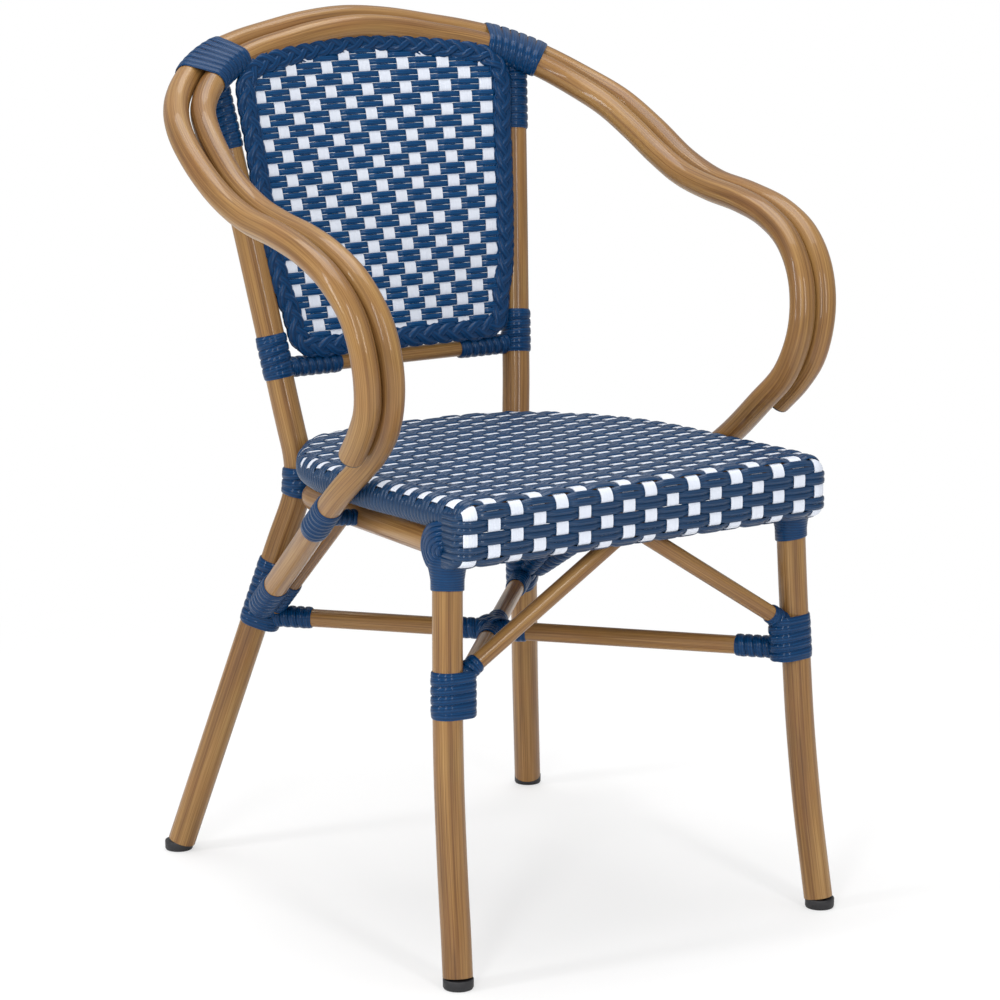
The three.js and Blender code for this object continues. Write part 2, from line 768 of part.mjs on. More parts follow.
// Legs
for (const side of ['left', 'right']) {
  const rearPath = rearLegPaths[side];
  const frontPath = frontLegPaths[side];
  const rearFoot = rearPath.getPointAt(1);
  const frontFoot = frontPath.getPointAt(1);
  addPiece(`rear_leg_${side}`, cut(tube(rearPath, legRadius, legSteps), hoopBindingTool(hoopSpines[side]), ...footTools(rearFoot)), bamboo);
  addPiece(`front_leg_${side}`,
    cut(tube(frontPath, legRadius, frontLegSteps), rimTool, ...footTools(frontFoot)), bamboo);
  footCap(`rear_foot_cap_${side}`, rearFoot);
  footCap(`front_foot_cap_${side}`, frontFoot);
}

// Place on the straight side of the support rail's centre line, at a distance in front of the middle
function onSideRail(side, y) {
  const share = (y + frontLegTopFront) / (bendBack + frontLegTopFront);
  return point(side * mix(frontLegTopHalf, railRearHalf, share), y, mix(railFrontHeight, railRearHeight, share));
}
const armTool = tube(innerPath, clearOfWinding(armRadius), innerSteps);
const railTool = tube(railPath, clearOf(railRadius), railSteps);

// Stub between the support rail and each arm tube
for (const side of [-1, 1]) {
  const armEnd = innerPath.getPointAt(armShareAt(side, stubHeight));
  const stub = tube(straightPath(onSideRail(side, armEnd.y), armEnd), stubDiameter / 2, 1);
  addPiece(`arm_stub_${sideName(side)}`, cut(stub, armTool, railTool), blueStrand);
}

// Stretchers: one whole tube from rear left to front right, and two halves that meet it
const legAxis = (paths, side, height) => pointAtHeight(paths[side], height);
const rearLeftEnd = legAxis(rearLegPaths, 'left', stretcherHeight);
const rearRightEnd = legAxis(rearLegPaths, 'right', stretcherHeight);
const frontLeftEnd = legAxis(frontLegPaths, 'left', stretcherHeight);
const frontRightEnd = legAxis(frontLegPaths, 'right', stretcherHeight);
for (const end of [rearLeftEnd, rearRightEnd, frontLeftEnd, frontRightEnd]) {
  end.z = stretcherHeight;
}
const wholePath = straightPath(rearLeftEnd, frontRightEnd);
const crossShare = Math.abs(rearLeftEnd.x) / (Math.abs(rearLeftEnd.x) + frontRightEnd.x);
const crossing = wholePath.getPoint(crossShare);
const stretcherRadius = stretcherDiameter / 2;
const frontBindingTool = (side) => tube(frontLegPaths[side], clearOfWinding(legRadius), frontLegSteps);
const wholeTool = tube(wholePath, clearOfWinding(stretcherRadius), 1);
addPiece('stretcher_whole', cut(tube(wholePath, stretcherRadius, 1),
  legBindingTool(rearLegPaths.left), frontBindingTool('right')), bamboo);
const frontHalfPath = straightPath(frontLeftEnd, crossing);
const rearHalfPath = straightPath(rearRightEnd, crossing);
addPiece('stretcher_half_front', cut(tube(frontHalfPath, stretcherRadius, 1), wholeTool,
  frontBindingTool('left')), bamboo);
addPiece('stretcher_half_rear', cut(tube(rearHalfPath, stretcherRadius, 1), wholeTool,
  legBindingTool(rearLegPaths.right)), bamboo);

// Front braces: up from the front legs to meet behind the apron rail
const frontBraceRadius = frontBraceDiameter / 2;
const braceStand = sleeveRadius + clearOf(frontBraceRadius);
const braceTopFront = rimFront - Math.sqrt(braceStand ** 2 - frontBraceTopDrop ** 2);
for (const side of [-1, 1]) {
  const name = sideName(side);
  const foot = pointAtHeight(frontLegPaths[name], frontBraceFootHeight);
  const top = point(side * (frontBraceRadius + touchGap), -braceTopFront, apronRailHeight - frontBraceTopDrop);
  const brace = tube(straightPath(foot, top), frontBraceRadius, 1);
  const apronTool = tube(alongFront(seatHalfWidth, apronRailHeight), clearOf(sleeveRadius), 1);
  const reach = 2 * frontBraceDiameter;
  const middleTool = new THREE.BoxGeometry(reach, reach, reach);
  middleTool.translate(side * (touchGap / 2 - reach / 2), -braceTopFront, top.z);
  addPiece(`front_brace_${name}`, cut(brace, frontBindingTool(name), apronTool, middleTool), bamboo);
}

// Rear braces: from under the support rail to the rear legs, inside the arm tubes
for (const side of [-1, 1]) {
  const name = sideName(side);
  const foot = pointAtHeight(rearLegPaths[name], rearBraceFootHeight);
  foot.add(point(-side * rearBraceFootIn, -rearBraceFootFront, 0));
  const brace = tube(straightPath(onSideRail(side, rearBraceTopBack), foot), rearBraceDiameter / 2, 1);
  const stretcherTool = tube(side < 0 ? wholePath : rearHalfPath, clearOfWinding(stretcherRadius), 1);
  addPiece(`rear_brace_${name}`, cut(brace, railTool, legBindingTool(rearLegPaths[name]), armTool, stretcherTool),
    bamboo);
}

// Back rail between the posts
const backRailEnds = ['left', 'right'].map((side) => pointAtHeight(rearLegPaths[side], backRailHeight));
const backRailPath = straightPath(backRailEnds[0].setZ(backRailHeight), backRailEnds[1].setZ(backRailHeight));
addPiece('back_rail', cut(tube(backRailPath, backRailDiameter / 2, 1),
  legBindingTool(rearLegPaths.left), legBindingTool(rearLegPaths.right)), bamboo);

// Back panel. A place on it is given by x and height; it leans with the posts and bows back at the top.
const panelBottom = backRailHeight + windingOuter(backRailDiameter / 2) + 2 * touchGap + borderWidth / 2;
const panelLean = (postTopBack - waistBack) / (postTopHeight - waistHeight);
const panelPost = pointAtHeight(rearLegPaths.right, panelBottom);
const panelFoot = panelPost.y - panelLead;
const panelBottomHalf = panelPost.x - panelPostGap;
function onPanel(x, height) {
  const rise = (height - panelBottom) / (panelArch - panelBottom);
  const bow = panelBow * Math.max(rise, 0) ** panelBowPower * (1 - (x / panelShoulderHalf) ** 2);
  return point(x, panelFoot + panelLeanShare * panelLean * (height - panelBottom) + bow, height);
}
const panelLeanShare = 0.9;
const panelNormal = point(0, 1, -panelLean * panelLeanShare).normalize();

// The border's centre line, from the middle of the foot round one side to the middle of the arch
const archShares = [
  [0.93, 0.42],
  [0.79, 0.59],
  [0.54, 0.77],
  [0.28, 0.92],
];
const edgeShares = [
  [0.06, 0.07],
  [0.32, 0.155],
  [0.7, 0.49],
  [0.88, 0.75],
  [1, 1],
];
const footCornerShare = 0.3;
function panelHalf(side) {
  const corner = panelCornerRadius;
  const foot = [
    [panelBottomHalf / 2, panelBottom],
    [panelBottomHalf - corner, panelBottom],
    [panelBottomHalf - corner * footCornerShare, panelBottom + corner * footCornerShare],
  ];
  const edge = edgeShares.map(([x, z]) =>
    [mix(panelBottomHalf, panelShoulderHalf, x), mix(panelBottom + corner, panelShoulder, z)]);
  const arch = archShares.map(([x, z]) => [panelShoulderHalf * x, mix(panelShoulder, panelArch, z)]);
  return [...foot, ...edge, ...arch].map(([x, z]) => onPanel(side * x, z));
}
const panelPath = new THREE.CatmullRomCurve3([
  onPanel(0, panelBottom), ...panelHalf(1), onPanel(0, panelArch), ...panelHalf(-1).reverse(),
], true, 'centripetal');
panelPath.arcLengthDivisions = 600;

function panelStations(count) {
  const stations = [];
  for (let i = 0; i < count; i++) {
    const at = panelPath.getPointAt(i / count);
    const along = panelPath.getTangentAt(i / count);
    const outward = along.clone().cross(panelNormal).normalize().negate();
    stations.push({ at, u: outward, v: panelNormal });
  }
  return stations;
}

// The plaited border is a channel, open at the back, with the rod lying in it
const halfBorder = borderWidth / 2;
const halfThick = borderThickness / 2;
const channelHalf = panelRodDiameter / 2 + 2 * touchGap;
const channelFloor = -halfThick + borderWall;
const borderSection = [
  [-halfBorder, -halfThick],
  [halfBorder, -halfThick],
  [halfBorder - borderChamfer, halfThick],
  [channelHalf, halfThick],
  [channelHalf, channelFloor],
  [-channelHalf, channelFloor],
  [-channelHalf, halfThick],
  [-halfBorder, halfThick],
].map(([u, v]) => new THREE.Vector2(u, v));
const border = sweep(panelStations(BORDER_STATIONS), borderSection, true);
addPiece('back_border', cut(border, hoopBindingTool(hoopSpines.left), hoopBindingTool(hoopSpines.right),
  tube(innerPath, clearOf(armRadius), innerSteps)), blueStrand);
addPiece('back_panel_rod', sweep(panelStations(BORDER_STATIONS),
  roundSection(panelRodDiameter / 2, 5).map((corner) =>
    new THREE.Vector2(corner.x, corner.y + channelFloor + panelRodDiameter / 2 + touchGap)), true), bamboo);

// The woven panel fills the border from inside, as rows of strips from side to side
function wovenBack() {
  const inset = halfBorder + 2 * touchGap;
  const edge = panelStations(BORDER_STATIONS).map(({ at, u }) => at.clone().addScaledVector(u, -inset));
  const rows = BORDER_STATIONS / 2 - 1;
  const columns = 4;
  const faces = [-wovenThickness / 2, wovenThickness / 2];
  const positions = [];
  for (const depth of faces) {
    for (let row = 0; row < rows; row++) {
      const right = edge[row + 1];
      const left = edge[BORDER_STATIONS - 1 - row];
      for (let column = 0; column <= columns; column++) {
        const x = mix(left.x, right.x, column / columns);
        const place = onPanel(x, mix(left.z, right.z, column / columns)).addScaledVector(panelNormal, depth);
        positions.push(place.x, place.y, place.z);
      }
    }
  }
  const perFace = rows * (columns + 1);
  const at = (face, row, column) => face * perFace + row * (columns + 1) + column;
  const index = [];
  const quad = (a, b, c, d) => index.push(a, b, c, a, c, d);
  for (let row = 0; row < rows - 1; row++) {
    for (let column = 0; column < columns; column++) {
      quad(at(0, row, column), at(0, row, column + 1), at(0, row + 1, column + 1), at(0, row + 1, column));
      quad(at(1, row, column), at(1, row + 1, column), at(1, row + 1, column + 1), at(1, row, column + 1));
    }
    quad(at(0, row, 0), at(0, row + 1, 0), at(1, row + 1, 0), at(1, row, 0));
    quad(at(0, row, columns), at(1, row, columns), at(1, row + 1, columns), at(0, row + 1, columns));
  }
  for (let column = 0; column < columns; column++) {
    quad(at(0, 0, column), at(1, 0, column), at(1, 0, column + 1), at(0, 0, column + 1));
    const top = rows - 1;
    quad(at(0, top, column), at(0, top, column + 1), at(1, top, column + 1), at(1, top, column));
  }
  const geometry = new THREE.BufferGeometry();
  geometry.setAttribute('position', new THREE.Float32BufferAttribute(positions, 3));
  geometry.setIndex(index);
  return geometry;
}
addPiece('woven_back', wovenBack(), blueWhiteWeave);

// Cheek rosettes: rings of strand on the outside of each front corner, lying along the leg
const rosetteSides = 14;
const rosetteCrestShare = 0.4;
const rosetteValleyShare = 0.9;
function rosette(side) {
  const ringWidth = rosetteHalfLength / rosetteRings;
  const face = rosetteThickness - rosetteRidge;
  const profile = [
    new THREE.Vector2(0, 0),
    new THREE.Vector2(rosetteHalfLength, 0),
    new THREE.Vector2(rosetteHalfLength, face),
  ];
  for (let ring = rosetteRings; ring > 0; ring--) {
    profile.push(new THREE.Vector2(ringWidth * (ring - rosetteCrestShare), rosetteThickness));
    profile.push(new THREE.Vector2(ringWidth * (ring - rosetteValleyShare), face));
  }
  profile.push(new THREE.Vector2(0, face));
  const geometry = new THREE.LatheGeometry(profile, rosetteSides);
  geometry.scale(1, 1, rosetteHalfHeight / rosetteHalfLength);
  geometry.rotateX(Math.PI / 2);
  const legPath = frontLegPaths[sideName(side)];
  const share = shareAtHeight(legPath, rosetteHeight);
  const along = legPath.getTangentAt(share);
  const outward = point(side, 0, 0).addScaledVector(along, -side * along.x).normalize();
  const turned = new THREE.Matrix4().makeBasis(along.clone().cross(outward), along, outward);
  const legFlat = legRadius * Math.cos(Math.PI / TUBE_SIDES);
  const place = legPath.getPointAt(share).addScaledVector(outward, legFlat + 2 * touchGap);
  place.y += rosetteSetBack;
  geometry.applyMatrix4(turned);
  geometry.translate(place.x, place.y, place.z);
  return geometry;
}
for (const side of [-1, 1]) {
  addPiece(`cheek_rosette_${sideName(side)}`, rosette(side), blueStrand);
}

// Bindings
const alongX = () => point(1, 0, 0);
const alongY = () => point(0, 1, 0);
const upward = () => point(0, 0, 1);
for (const side of [-1, 1]) {
  const name = sideName(side);
  const rear = rearLegPaths[name];
  const front = frontLegPaths[name];
  const bindLeg = (piece, path, joint, binding) => {
    const middle = shareAtHeight(path, joint + binding.rise) * path.getLength();
    wind(piece, path, middle, binding, legRadius, alongX);
  };
  bindLeg(`binding_post_top_${name}`, rear, postTopHeight, postTopBinding);
  bindLeg(`binding_post_low_${name}`, rear, backRailHeight, postLowBinding);
  bindLeg(`binding_seat_rear_${name}`, rear, railRearHeight, seatRearBinding);
  bindLeg(`binding_rear_leg_${name}`, rear, stretcherHeight, rearLegBinding);
  bindLeg(`binding_front_leg_${name}`, front, stretcherHeight, frontLegBinding);
  bindLeg(`binding_front_top_${name}`, front, railFrontHeight, frontTopBinding);

  const spine = hoopSpines[name];
  wind(`binding_hoop_${name}`, spine.path, spine.path.getLength() / 2, hoopBinding, armRadius, spine.besideAt,
    hoopPitch / 2);

  // Inset from the end of a path that this side's joint lies at
  const fromEnd = (path, inset) => (side < 0 ? inset : path.getLength() - inset);
  wind(`binding_back_rail_${name}`, backRailPath, fromEnd(backRailPath, backRailBinding.inset), backRailBinding,
    backRailDiameter / 2, alongY);
  const armMiddle = armShareAt(side, stubHeight + armBinding.rise) * innerPath.getLength();
  wind(`binding_arm_${name}`, innerPath, armMiddle, armBinding, armRadius, alongX);
  wind(`binding_arm_end_${name}`, innerPath, fromEnd(innerPath, armEndBinding.inset), armEndBinding, armRadius,
    alongX);
}

wind('binding_stretcher_cross', wholePath, crossShare * wholePath.getLength(), crossBinding, stretcherRadius,
  upward);
const stretcherEnds = [
  ['rear_left', wholePath],
  ['front_right', straightPath(frontRightEnd, rearLeftEnd)],
  ['front_left', frontHalfPath],
  ['rear_right', rearHalfPath],
];
for (const [name, path] of stretcherEnds) {
  wind(`binding_stretcher_${name}`, path, stretcherBinding.inset, stretcherBinding, stretcherRadius, upward);
}

export default chair;
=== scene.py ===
# Rattan bistro armchair: bamboo-look tubes, flat strand bindings, and a woven seat and back over the frame.
# Sizes are millimetres from the floor and the seat's own middle, until INTO_FRAME takes them to the frame.
from bisect import bisect_right
from math import atan2, cos, exp, hypot, pi, radians, sin

import bmesh
import bpy
from mathutils import Matrix, Vector
from mathutils.kdtree import KDTree


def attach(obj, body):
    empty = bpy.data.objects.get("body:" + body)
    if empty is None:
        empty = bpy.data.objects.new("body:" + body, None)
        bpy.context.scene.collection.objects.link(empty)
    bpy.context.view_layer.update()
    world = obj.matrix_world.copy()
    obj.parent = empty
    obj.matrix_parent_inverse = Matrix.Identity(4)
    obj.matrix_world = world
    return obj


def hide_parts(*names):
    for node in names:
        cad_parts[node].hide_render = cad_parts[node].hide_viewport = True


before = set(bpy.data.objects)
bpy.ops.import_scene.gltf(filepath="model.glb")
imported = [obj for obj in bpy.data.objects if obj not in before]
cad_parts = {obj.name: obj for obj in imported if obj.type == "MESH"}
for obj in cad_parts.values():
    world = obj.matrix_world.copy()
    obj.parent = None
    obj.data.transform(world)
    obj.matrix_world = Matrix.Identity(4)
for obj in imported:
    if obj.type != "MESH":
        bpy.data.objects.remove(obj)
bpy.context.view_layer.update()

PLAN_CENTRE = 18.1
INTO_FRAME = Matrix.Scale(0.001, 4) @ Matrix.Translation((0, -PLAN_CENTRE, 0))
SIDES = {"left": -1, "right": 1}

# Camera at the photograph's viewing angle
CAMERA_AZIMUTH = radians(33.87)
CAMERA_ELEVATION = radians(11.9)
CAMERA_DISTANCE = 3.536
CAMERA_LENS = 130.03
CAMERA_SENSOR = 36
CAMERA_TARGET = Vector((0, -0.0181, 0.388))


def linked(name, data):
    """A new object in the scene."""
    made = bpy.data.objects.new(name, data)
    bpy.context.scene.collection.objects.link(made)
    return made


def aim(made, direction):
    made.rotation_mode = "QUATERNION"
    made.rotation_quaternion = direction.to_track_quat("-Z", "Y")


camera = linked("camera", bpy.data.cameras.new("camera"))
camera_back = Vector((
    -sin(CAMERA_AZIMUTH) * cos(CAMERA_ELEVATION),
    -cos(CAMERA_AZIMUTH) * cos(CAMERA_ELEVATION),
    sin(CAMERA_ELEVATION),
))
camera.location = CAMERA_TARGET + camera_back * CAMERA_DISTANCE
aim(camera, -camera_back)
camera.data.lens = CAMERA_LENS
camera.data.sensor_width = CAMERA_SENSOR
bpy.context.scene.camera = camera


# Materials

def colour(red, green, blue):
    """A colour read off in 0 to 255, as the shader's linear one."""
    linear = []
    for level in (red / 255, green / 255, blue / 255):
        linear.append(level / 12.92 if level <= 0.04045 else ((level + 0.055) / 1.055) ** 2.4)
    return (*linear, 1)


class Number:
    """A shader number that Python's operators work on; each adds one Math node."""

    def __init__(self, tree, socket):
        self.tree = tree
        self.socket = socket

    def combine(self, operation, first, second=0.0):
        node = self.tree.node("ShaderNodeMath", {"operation": operation}, {0: first, 1: second})
        return Number(self.tree, node.outputs[0])

    def __add__(self, other):
        return self.combine("ADD", self, other)

    def __radd__(self, other):
        return self.combine("ADD", other, self)

    def __sub__(self, other):
        return self.combine("SUBTRACT", self, other)

    def __rsub__(self, other):
        return self.combine("SUBTRACT", other, self)

    def __mul__(self, other):
        return self.combine("MULTIPLY", self, other)

    def __rmul__(self, other):
        return self.combine("MULTIPLY", other, self)

    def sine(self):
        return self.combine("SINE", self)

    def larger(self, other):
        return self.combine("MAXIMUM", self, other)


class Tree:
    """The nodes of a material or of the world."""

    def __init__(self, owner):
        owner.use_nodes = True
        self.nodes = owner.node_tree.nodes
        self.links = owner.node_tree.links

    def set(self, node, values):
        for key, value in values.items():
            socket = node.inputs[key]
            if isinstance(value, Number):
                value = value.socket
            if isinstance(value, bpy.types.NodeSocket):
                self.links.new(value, socket)
            else:
                socket.default_value = value
        return node

    def node(self, kind, settings, values):
        node = self.nodes.new(kind)
        for key, value in settings.items():
            if key == "stops":
                while len(node.color_ramp.elements) < len(value):
                    node.color_ramp.elements.new(1)
                for element, (place, shade) in zip(node.color_ramp.elements, value):
                    element.position = place
                    element.color = shade
            else:
                setattr(node, key, value)
        return self.set(node, values)


class Finish(Tree):
    """One material: its shader, and the patterns that feed it."""

    def __init__(self, name, roughness=0.4, **sockets):
        self.material = bpy.data.materials.new(name)
        super().__init__(self.material)
        self.shader = self.nodes["Principled BSDF"]
        self.set(self.shader, {"Roughness": roughness, **sockets})

    def lay(self):
        """Where a point lies in its strand or tube: across, above, and along, in millimetres."""
        return self.node("ShaderNodeAttribute", {"attribute_name": "lay"}, {}).outputs["Vector"]

    def lines(self, per_millimetre):
        """Waves from 0 to 1 across a strand, which run its length."""
        across = Number(self, self.node("ShaderNodeSeparateXYZ", {}, {0: self.lay()}).outputs[0])
        return (across * per_millimetre).sine() * 0.5 + 0.5

    def noise(self, vector, scale=1.0, detail=2.0, roughness=0.5):
        node = self.node("ShaderNodeTexNoise", {},
                         {"Vector": vector, "Scale": scale, "Detail": detail, "Roughness": roughness})
        return Number(self, node.outputs["Fac"])

    def streaks(self, across, along, detail=2.0, roughness=0.5):
        """Noise that runs lengthwise, with its frequencies in millimetres across and along."""
        scaled = self.node("ShaderNodeVectorMath", {"operation": "MULTIPLY"},
                           {0: self.lay(), 1: (across, across, along)})
        return self.noise(scaled.outputs[0], detail=detail, roughness=roughness)

    def ramp(self, number, stops):
        return self.node("ShaderNodeValToRGB", {"stops": stops}, {0: number}).outputs[0]

    def blend(self, share, first, second):
        return self.node("ShaderNodeMix", {"data_type": "RGBA"}, {0: share, 6: first, 7: second}).outputs[2]

    def relief(self, height, distance, strength=1.0):
        node = self.node("ShaderNodeBump", {}, {"Height": height, "Distance": distance, "Strength": strength})
        self.set(self.shader, {"Normal": node.outputs[0]})


def bamboo_finish():
    """Golden brown coating with long fibre streaks, under a satin gloss."""
    finish = Finish("bamboo", **{"Coat Roughness": 0.07, "Specular IOR Level": 0.22})
    fibre = finish.streaks(0.95, 0.007, detail=4.0, roughness=0.68)
    band = finish.streaks(0.13, 0.004, detail=1.0)
    patch = finish.streaks(0.03, 0.02)
    base = finish.ramp(fibre * 0.6 + band * 0.4, [
        (0.32, colour(66, 44, 22)),
        (0.43, colour(108, 78, 42)),
        (0.54, colour(141, 108, 61)),
        (0.70, colour(170, 137, 86)),
    ])
    warm = finish.blend(patch * 0.45, base, colour(140, 90, 48))
    finish.set(finish.shader, {
        "Base Color": warm,
        "Roughness": 0.52 - fibre * 0.25,
        "Coat Weight": 0.42 - band * 0.2,
    })
    finish.relief(fibre, 0.0005, 0.4)
    return finish.material


def strand_finish(name, ribs, rib_depth, shade, light, coat=0.34, specular=0.1):
    """Blue moulded strand: fine lengthwise ribs with painted shade in their grooves, a slight change of tone
    along it, and a gloss.
    """
    finish = Finish(name, **{"Coat Roughness": 0.06, "Specular IOR Level": specular})
    drift = finish.streaks(0.05, 0.025)
    grain = finish.streaks(0.9, 0.03)
    rib = finish.lines(ribs)
    base = finish.blend(drift * 0.9, colour(*shade), colour(*light))
    # Painted shade: the grooves between the ribs are darkened towards a deep blue.
    base = finish.blend((1 - rib) * 0.45, base, colour(3, 20, 46))
    finish.set(finish.shader, {
        "Base Color": base,
        "Roughness": 0.26 + grain * 0.2,
        "Coat Weight": coat - grain * 0.3,
    })
    finish.relief(rib * 0.75 + grain * 0.25, rib_depth)
    return finish.material


def white_finish():
    """White moulded strip with faint lengthwise lines."""
    finish = Finish("white_strip")
    grain = finish.streaks(0.8, 0.03)
    line = finish.lines(2.4)
    base = finish.blend(grain * 0.6, colour(215, 220, 230), colour(193, 200, 215))
    finish.set(finish.shader, {"Base Color": base, "Roughness": 0.32 + grain * 0.2})
    finish.relief(line * 0.6 + grain * 0.4, 0.0002)
    return finish.material


def black_finish():
    """Black moulded plastic with a fine matt grain."""
    finish = Finish("black_moulding")
    place = finish.node("ShaderNodeTexCoord", {}, {}).outputs["Object"]
    grain = finish.noise(place, scale=900.0)
    wear = finish.noise(place, scale=60.0, detail=3.0)
    base = finish.blend(wear * 0.6, colour(20, 20, 23), colour(38, 38, 42))
    finish.set(finish.shader, {"Base Color": base, "Roughness": 0.42 + grain * 0.2})
    finish.relief(grain, 0.0003, 0.4)
    return finish.material


bamboo = bamboo_finish()
blue_flat = strand_finish("blue_flat_strand", 2.1, 0.0004, (2, 48, 88), (8, 62, 106))
blue_weft = strand_finish("blue_weft", 3.2, 0.0003, (2, 57, 102), (8, 74, 124))
# The seat's wefts are the same strand as the back's, given darker colours here as painted shade on the seat.
blue_seat_shaded = strand_finish("blue_seat_shaded", 3.2, 0.0003, (4, 46, 80), (12, 60, 100), coat=0.44, specular=0.22)
blue_braid = strand_finish("blue_braid", 1.6, 0.0005, (2, 46, 86), (10, 66, 112))
white_strip = white_finish()
black_moulding = black_finish()


# Paths

def mix(a, b, share):
    return a + (b - a) * share


def smooth_share(share):
    share = min(max(share, 0.0), 1.0)
    return share * share * (3 - 2 * share)


def table_value(table, place):
    """The value between a table's entries at a place, held at its ends."""
    if place <= table[0][0]:
        return table[0][1]
    for (start, low), (end, high) in zip(table, table[1:]):
        if place <= end:
            return mix(low, high, (place - start) / (end - start))
    return table[-1][1]


class Line:
    """A path as close points, found by its share of the length."""

    def __init__(self, points, closed=False):
        self.points = points
        self.closed = closed
        self.reach = [0.0]
        for start, end in zip(points, points[1:]):
            self.reach.append(self.reach[-1] + (end - start).length)
        self.length = self.reach[-1]

    def at(self, share):
        share = share % 1.0 if self.closed else min(max(share, 0.0), 1.0)
        distance = share * self.length
        i = min(bisect_right(self.reach, distance) - 1, len(self.points) - 2)
        step = (distance - self.reach[i]) / (self.reach[i + 1] - self.reach[i])
        return self.points[i].lerp(self.points[i + 1], step)

    def along(self, share):
        reach = 0.004
        if self.closed:
            return (self.at(share + reach) - self.at(share - reach)).normalized()
        start, end = max(share - reach, 0.0), min(share + reach, 1.0)
        return (self.at(end) - self.at(start)).normalized()

    def share_at_height(self, height, start=0.0, end=1.0):
        """Share, between two shares, at which the path comes nearest to a height."""
        shares = [mix(start, end, i / 300) for i in range(301)]
        return min(shares, key=lambda share: abs(self.at(share).z - height))

    def at_height(self, height):
        return self.at(self.share_at_height(height))


def smooth_line(points, closed=False, steps=16):
    """A centripetal curve through the points."""
    count = len(points)

    def neighbour(i):
        if closed:
            return points[i % count]
        if i < 0:
            return points[0] * 2 - points[1]
        if i >= count:
            return points[-1] * 2 - points[-2]
        return points[i]

    found = []
    for i in range(count if closed else count - 1):
        before, start, end, after = (neighbour(i + k) for k in (-1, 0, 1, 2))
        first, span, last = ((b - a).length ** 0.5 for a, b in ((before, start), (start, end), (end, after)))
        leave = ((start - before) / first - (end - before) / (first + span) + (end - start) / span) * span
        arrive = ((end - start) / span - (after - start) / (span + last) + (after - end) / last) * span
        for k in range(steps):
            t = k / steps
            found.append(start + leave * t + (end * 3 - start * 3 - leave * 2 - arrive) * t ** 2
                         + (start * 2 - end * 2 + leave + arrive) * t ** 3)
    found.append(points[0].copy() if closed else points[-1].copy())
    return Line(found, closed)


def straight_line(start, end):
    return Line([start, end])


# Meshes

def fresh_mesh():
    """An empty mesh whose points remember how they lie in their strand."""
    bm = bmesh.new()
    bm.verts.layers.float_vector.new("lay")
    return bm


def shell(bm, rings, closed=False):
    """Lays a grid over rings of (place, lay), joins its two edges, and closes its ends."""
    lay = bm.verts.layers.float_vector["lay"]
    sides = len(rings[0])
    rows = len(rings) + (1 if closed else 0)
    grid = bmesh.ops.create_grid(bm, x_segments=sides, y_segments=rows - 1, size=1)["verts"]
    for row in range(rows):
        ring = rings[row % len(rings)]
        for column in range(sides + 1):
            corner = grid[row * (sides + 1) + column]
            corner.co, corner[lay] = ring[column % sides]
    joined = {grid[row * (sides + 1) + sides]: grid[row * (sides + 1)] for row in range(rows)}
    if closed:
        last = (rows - 1) * (sides + 1)
        for column in range(sides):
            joined[grid[last + column]] = grid[column]
        joined[grid[last + sides]] = grid[0]
        joined = {corner: joined.get(target, target) for corner, target in joined.items()}
    ends = [] if closed else [grid[:sides], grid[(rows - 1) * (sides + 1):(rows - 1) * (sides + 1) + sides]]
    bmesh.ops.weld_verts(bm, targetmap=joined)
    for end in ends:
        edges = [edge for corner in end for edge in corner.link_edges if edge.is_boundary]
        bmesh.ops.holes_fill(bm, edges=list(dict.fromkeys(edges)), sides=0)


def carried(bm, frames, section, closed=False):
    """Carries a section along frames of (place, across, above, distance)."""
    rings = []
    for place, across, above, distance in frames:
        rings.append([(place + across * u + above * v, Vector((u, v, distance))) for u, v in section])
    shell(bm, rings, closed)


def framed(places, outwards, closed=False):
    """Frames for places along a strand, with the side that faces out."""
    frames = []
    distance = 0.0
    last = len(places) - 1
    for i, (place, outward) in enumerate(zip(places, outwards)):
        before = places[i - 1] if closed or i else place
        after = places[(i + 1) % len(places)] if closed or i < last else place
        along = (after - before).normalized()
        across = along.cross(outward).normalized()
        above = across.cross(along)
        if i:
            distance += (place - places[i - 1]).length
        frames.append((place, across, above, distance))
    return frames


def round_section(radius, sides):
    return [(radius * cos(2 * pi * i / sides), radius * sin(2 * pi * i / sides))
            for i in range(sides)]


def domed_section(width, thickness, sides=5):
    """A flat strand's section: level below, domed above."""
    top = []
    for i in range(sides):
        turn = pi * i / (sides - 1)
        top.append((width / 2 * cos(turn), thickness * (0.28 + 0.72 * sin(turn) ** 0.8)))
    return [(width / 2 * 0.86, 0.0), *top, (-width / 2 * 0.86, 0.0)]


SHARP_EDGE = radians(50)


def piece(name, bm, material, slot, *stands_for):
    """Makes the mesh a named piece of the chair, in place of its CAD nodes."""
    bmesh.ops.recalc_face_normals(bm, faces=bm.faces)
    bmesh.ops.transform(bm, matrix=INTO_FRAME, verts=bm.verts)
    mesh = bpy.data.meshes.new(name)
    bm.to_mesh(mesh)
    bm.free()
    mesh.shade_smooth()
    mesh.set_sharp_from_angle(angle=SHARP_EDGE)
    mesh.materials.append(material)
    made = linked(name, mesh)
    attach(made, "root")
    if stands_for:
        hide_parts(*stands_for)
    return made


GRAIN_SHIFT, TUBE_SIDES = 137.0, 28


def tube(name, line, radius, spacing=7.0, start=0.0, end=1.0, sides=TUBE_SIDES):
    """A smooth bamboo-look tube along a path, between two shares of it."""
    bm = fresh_mesh()
    count = max(2, int((end - start) * line.length / spacing) + 1)
    across = None
    frames = []
    for i in range(count):
        share = mix(start, end, i / (count - 1))
        along = line.along(share)
        if across is None:
            across = along.orthogonal().normalized()
        across = (across - along * across.dot(along)).normalized()
        distance = share * line.length + len(name) * GRAIN_SHIFT
        frames.append((line.at(share), across, along.cross(across), distance))
    carried(bm, frames, round_section(radius, sides))
    return piece(name + "_tube", bm, bamboo, "bamboo_tube", name)


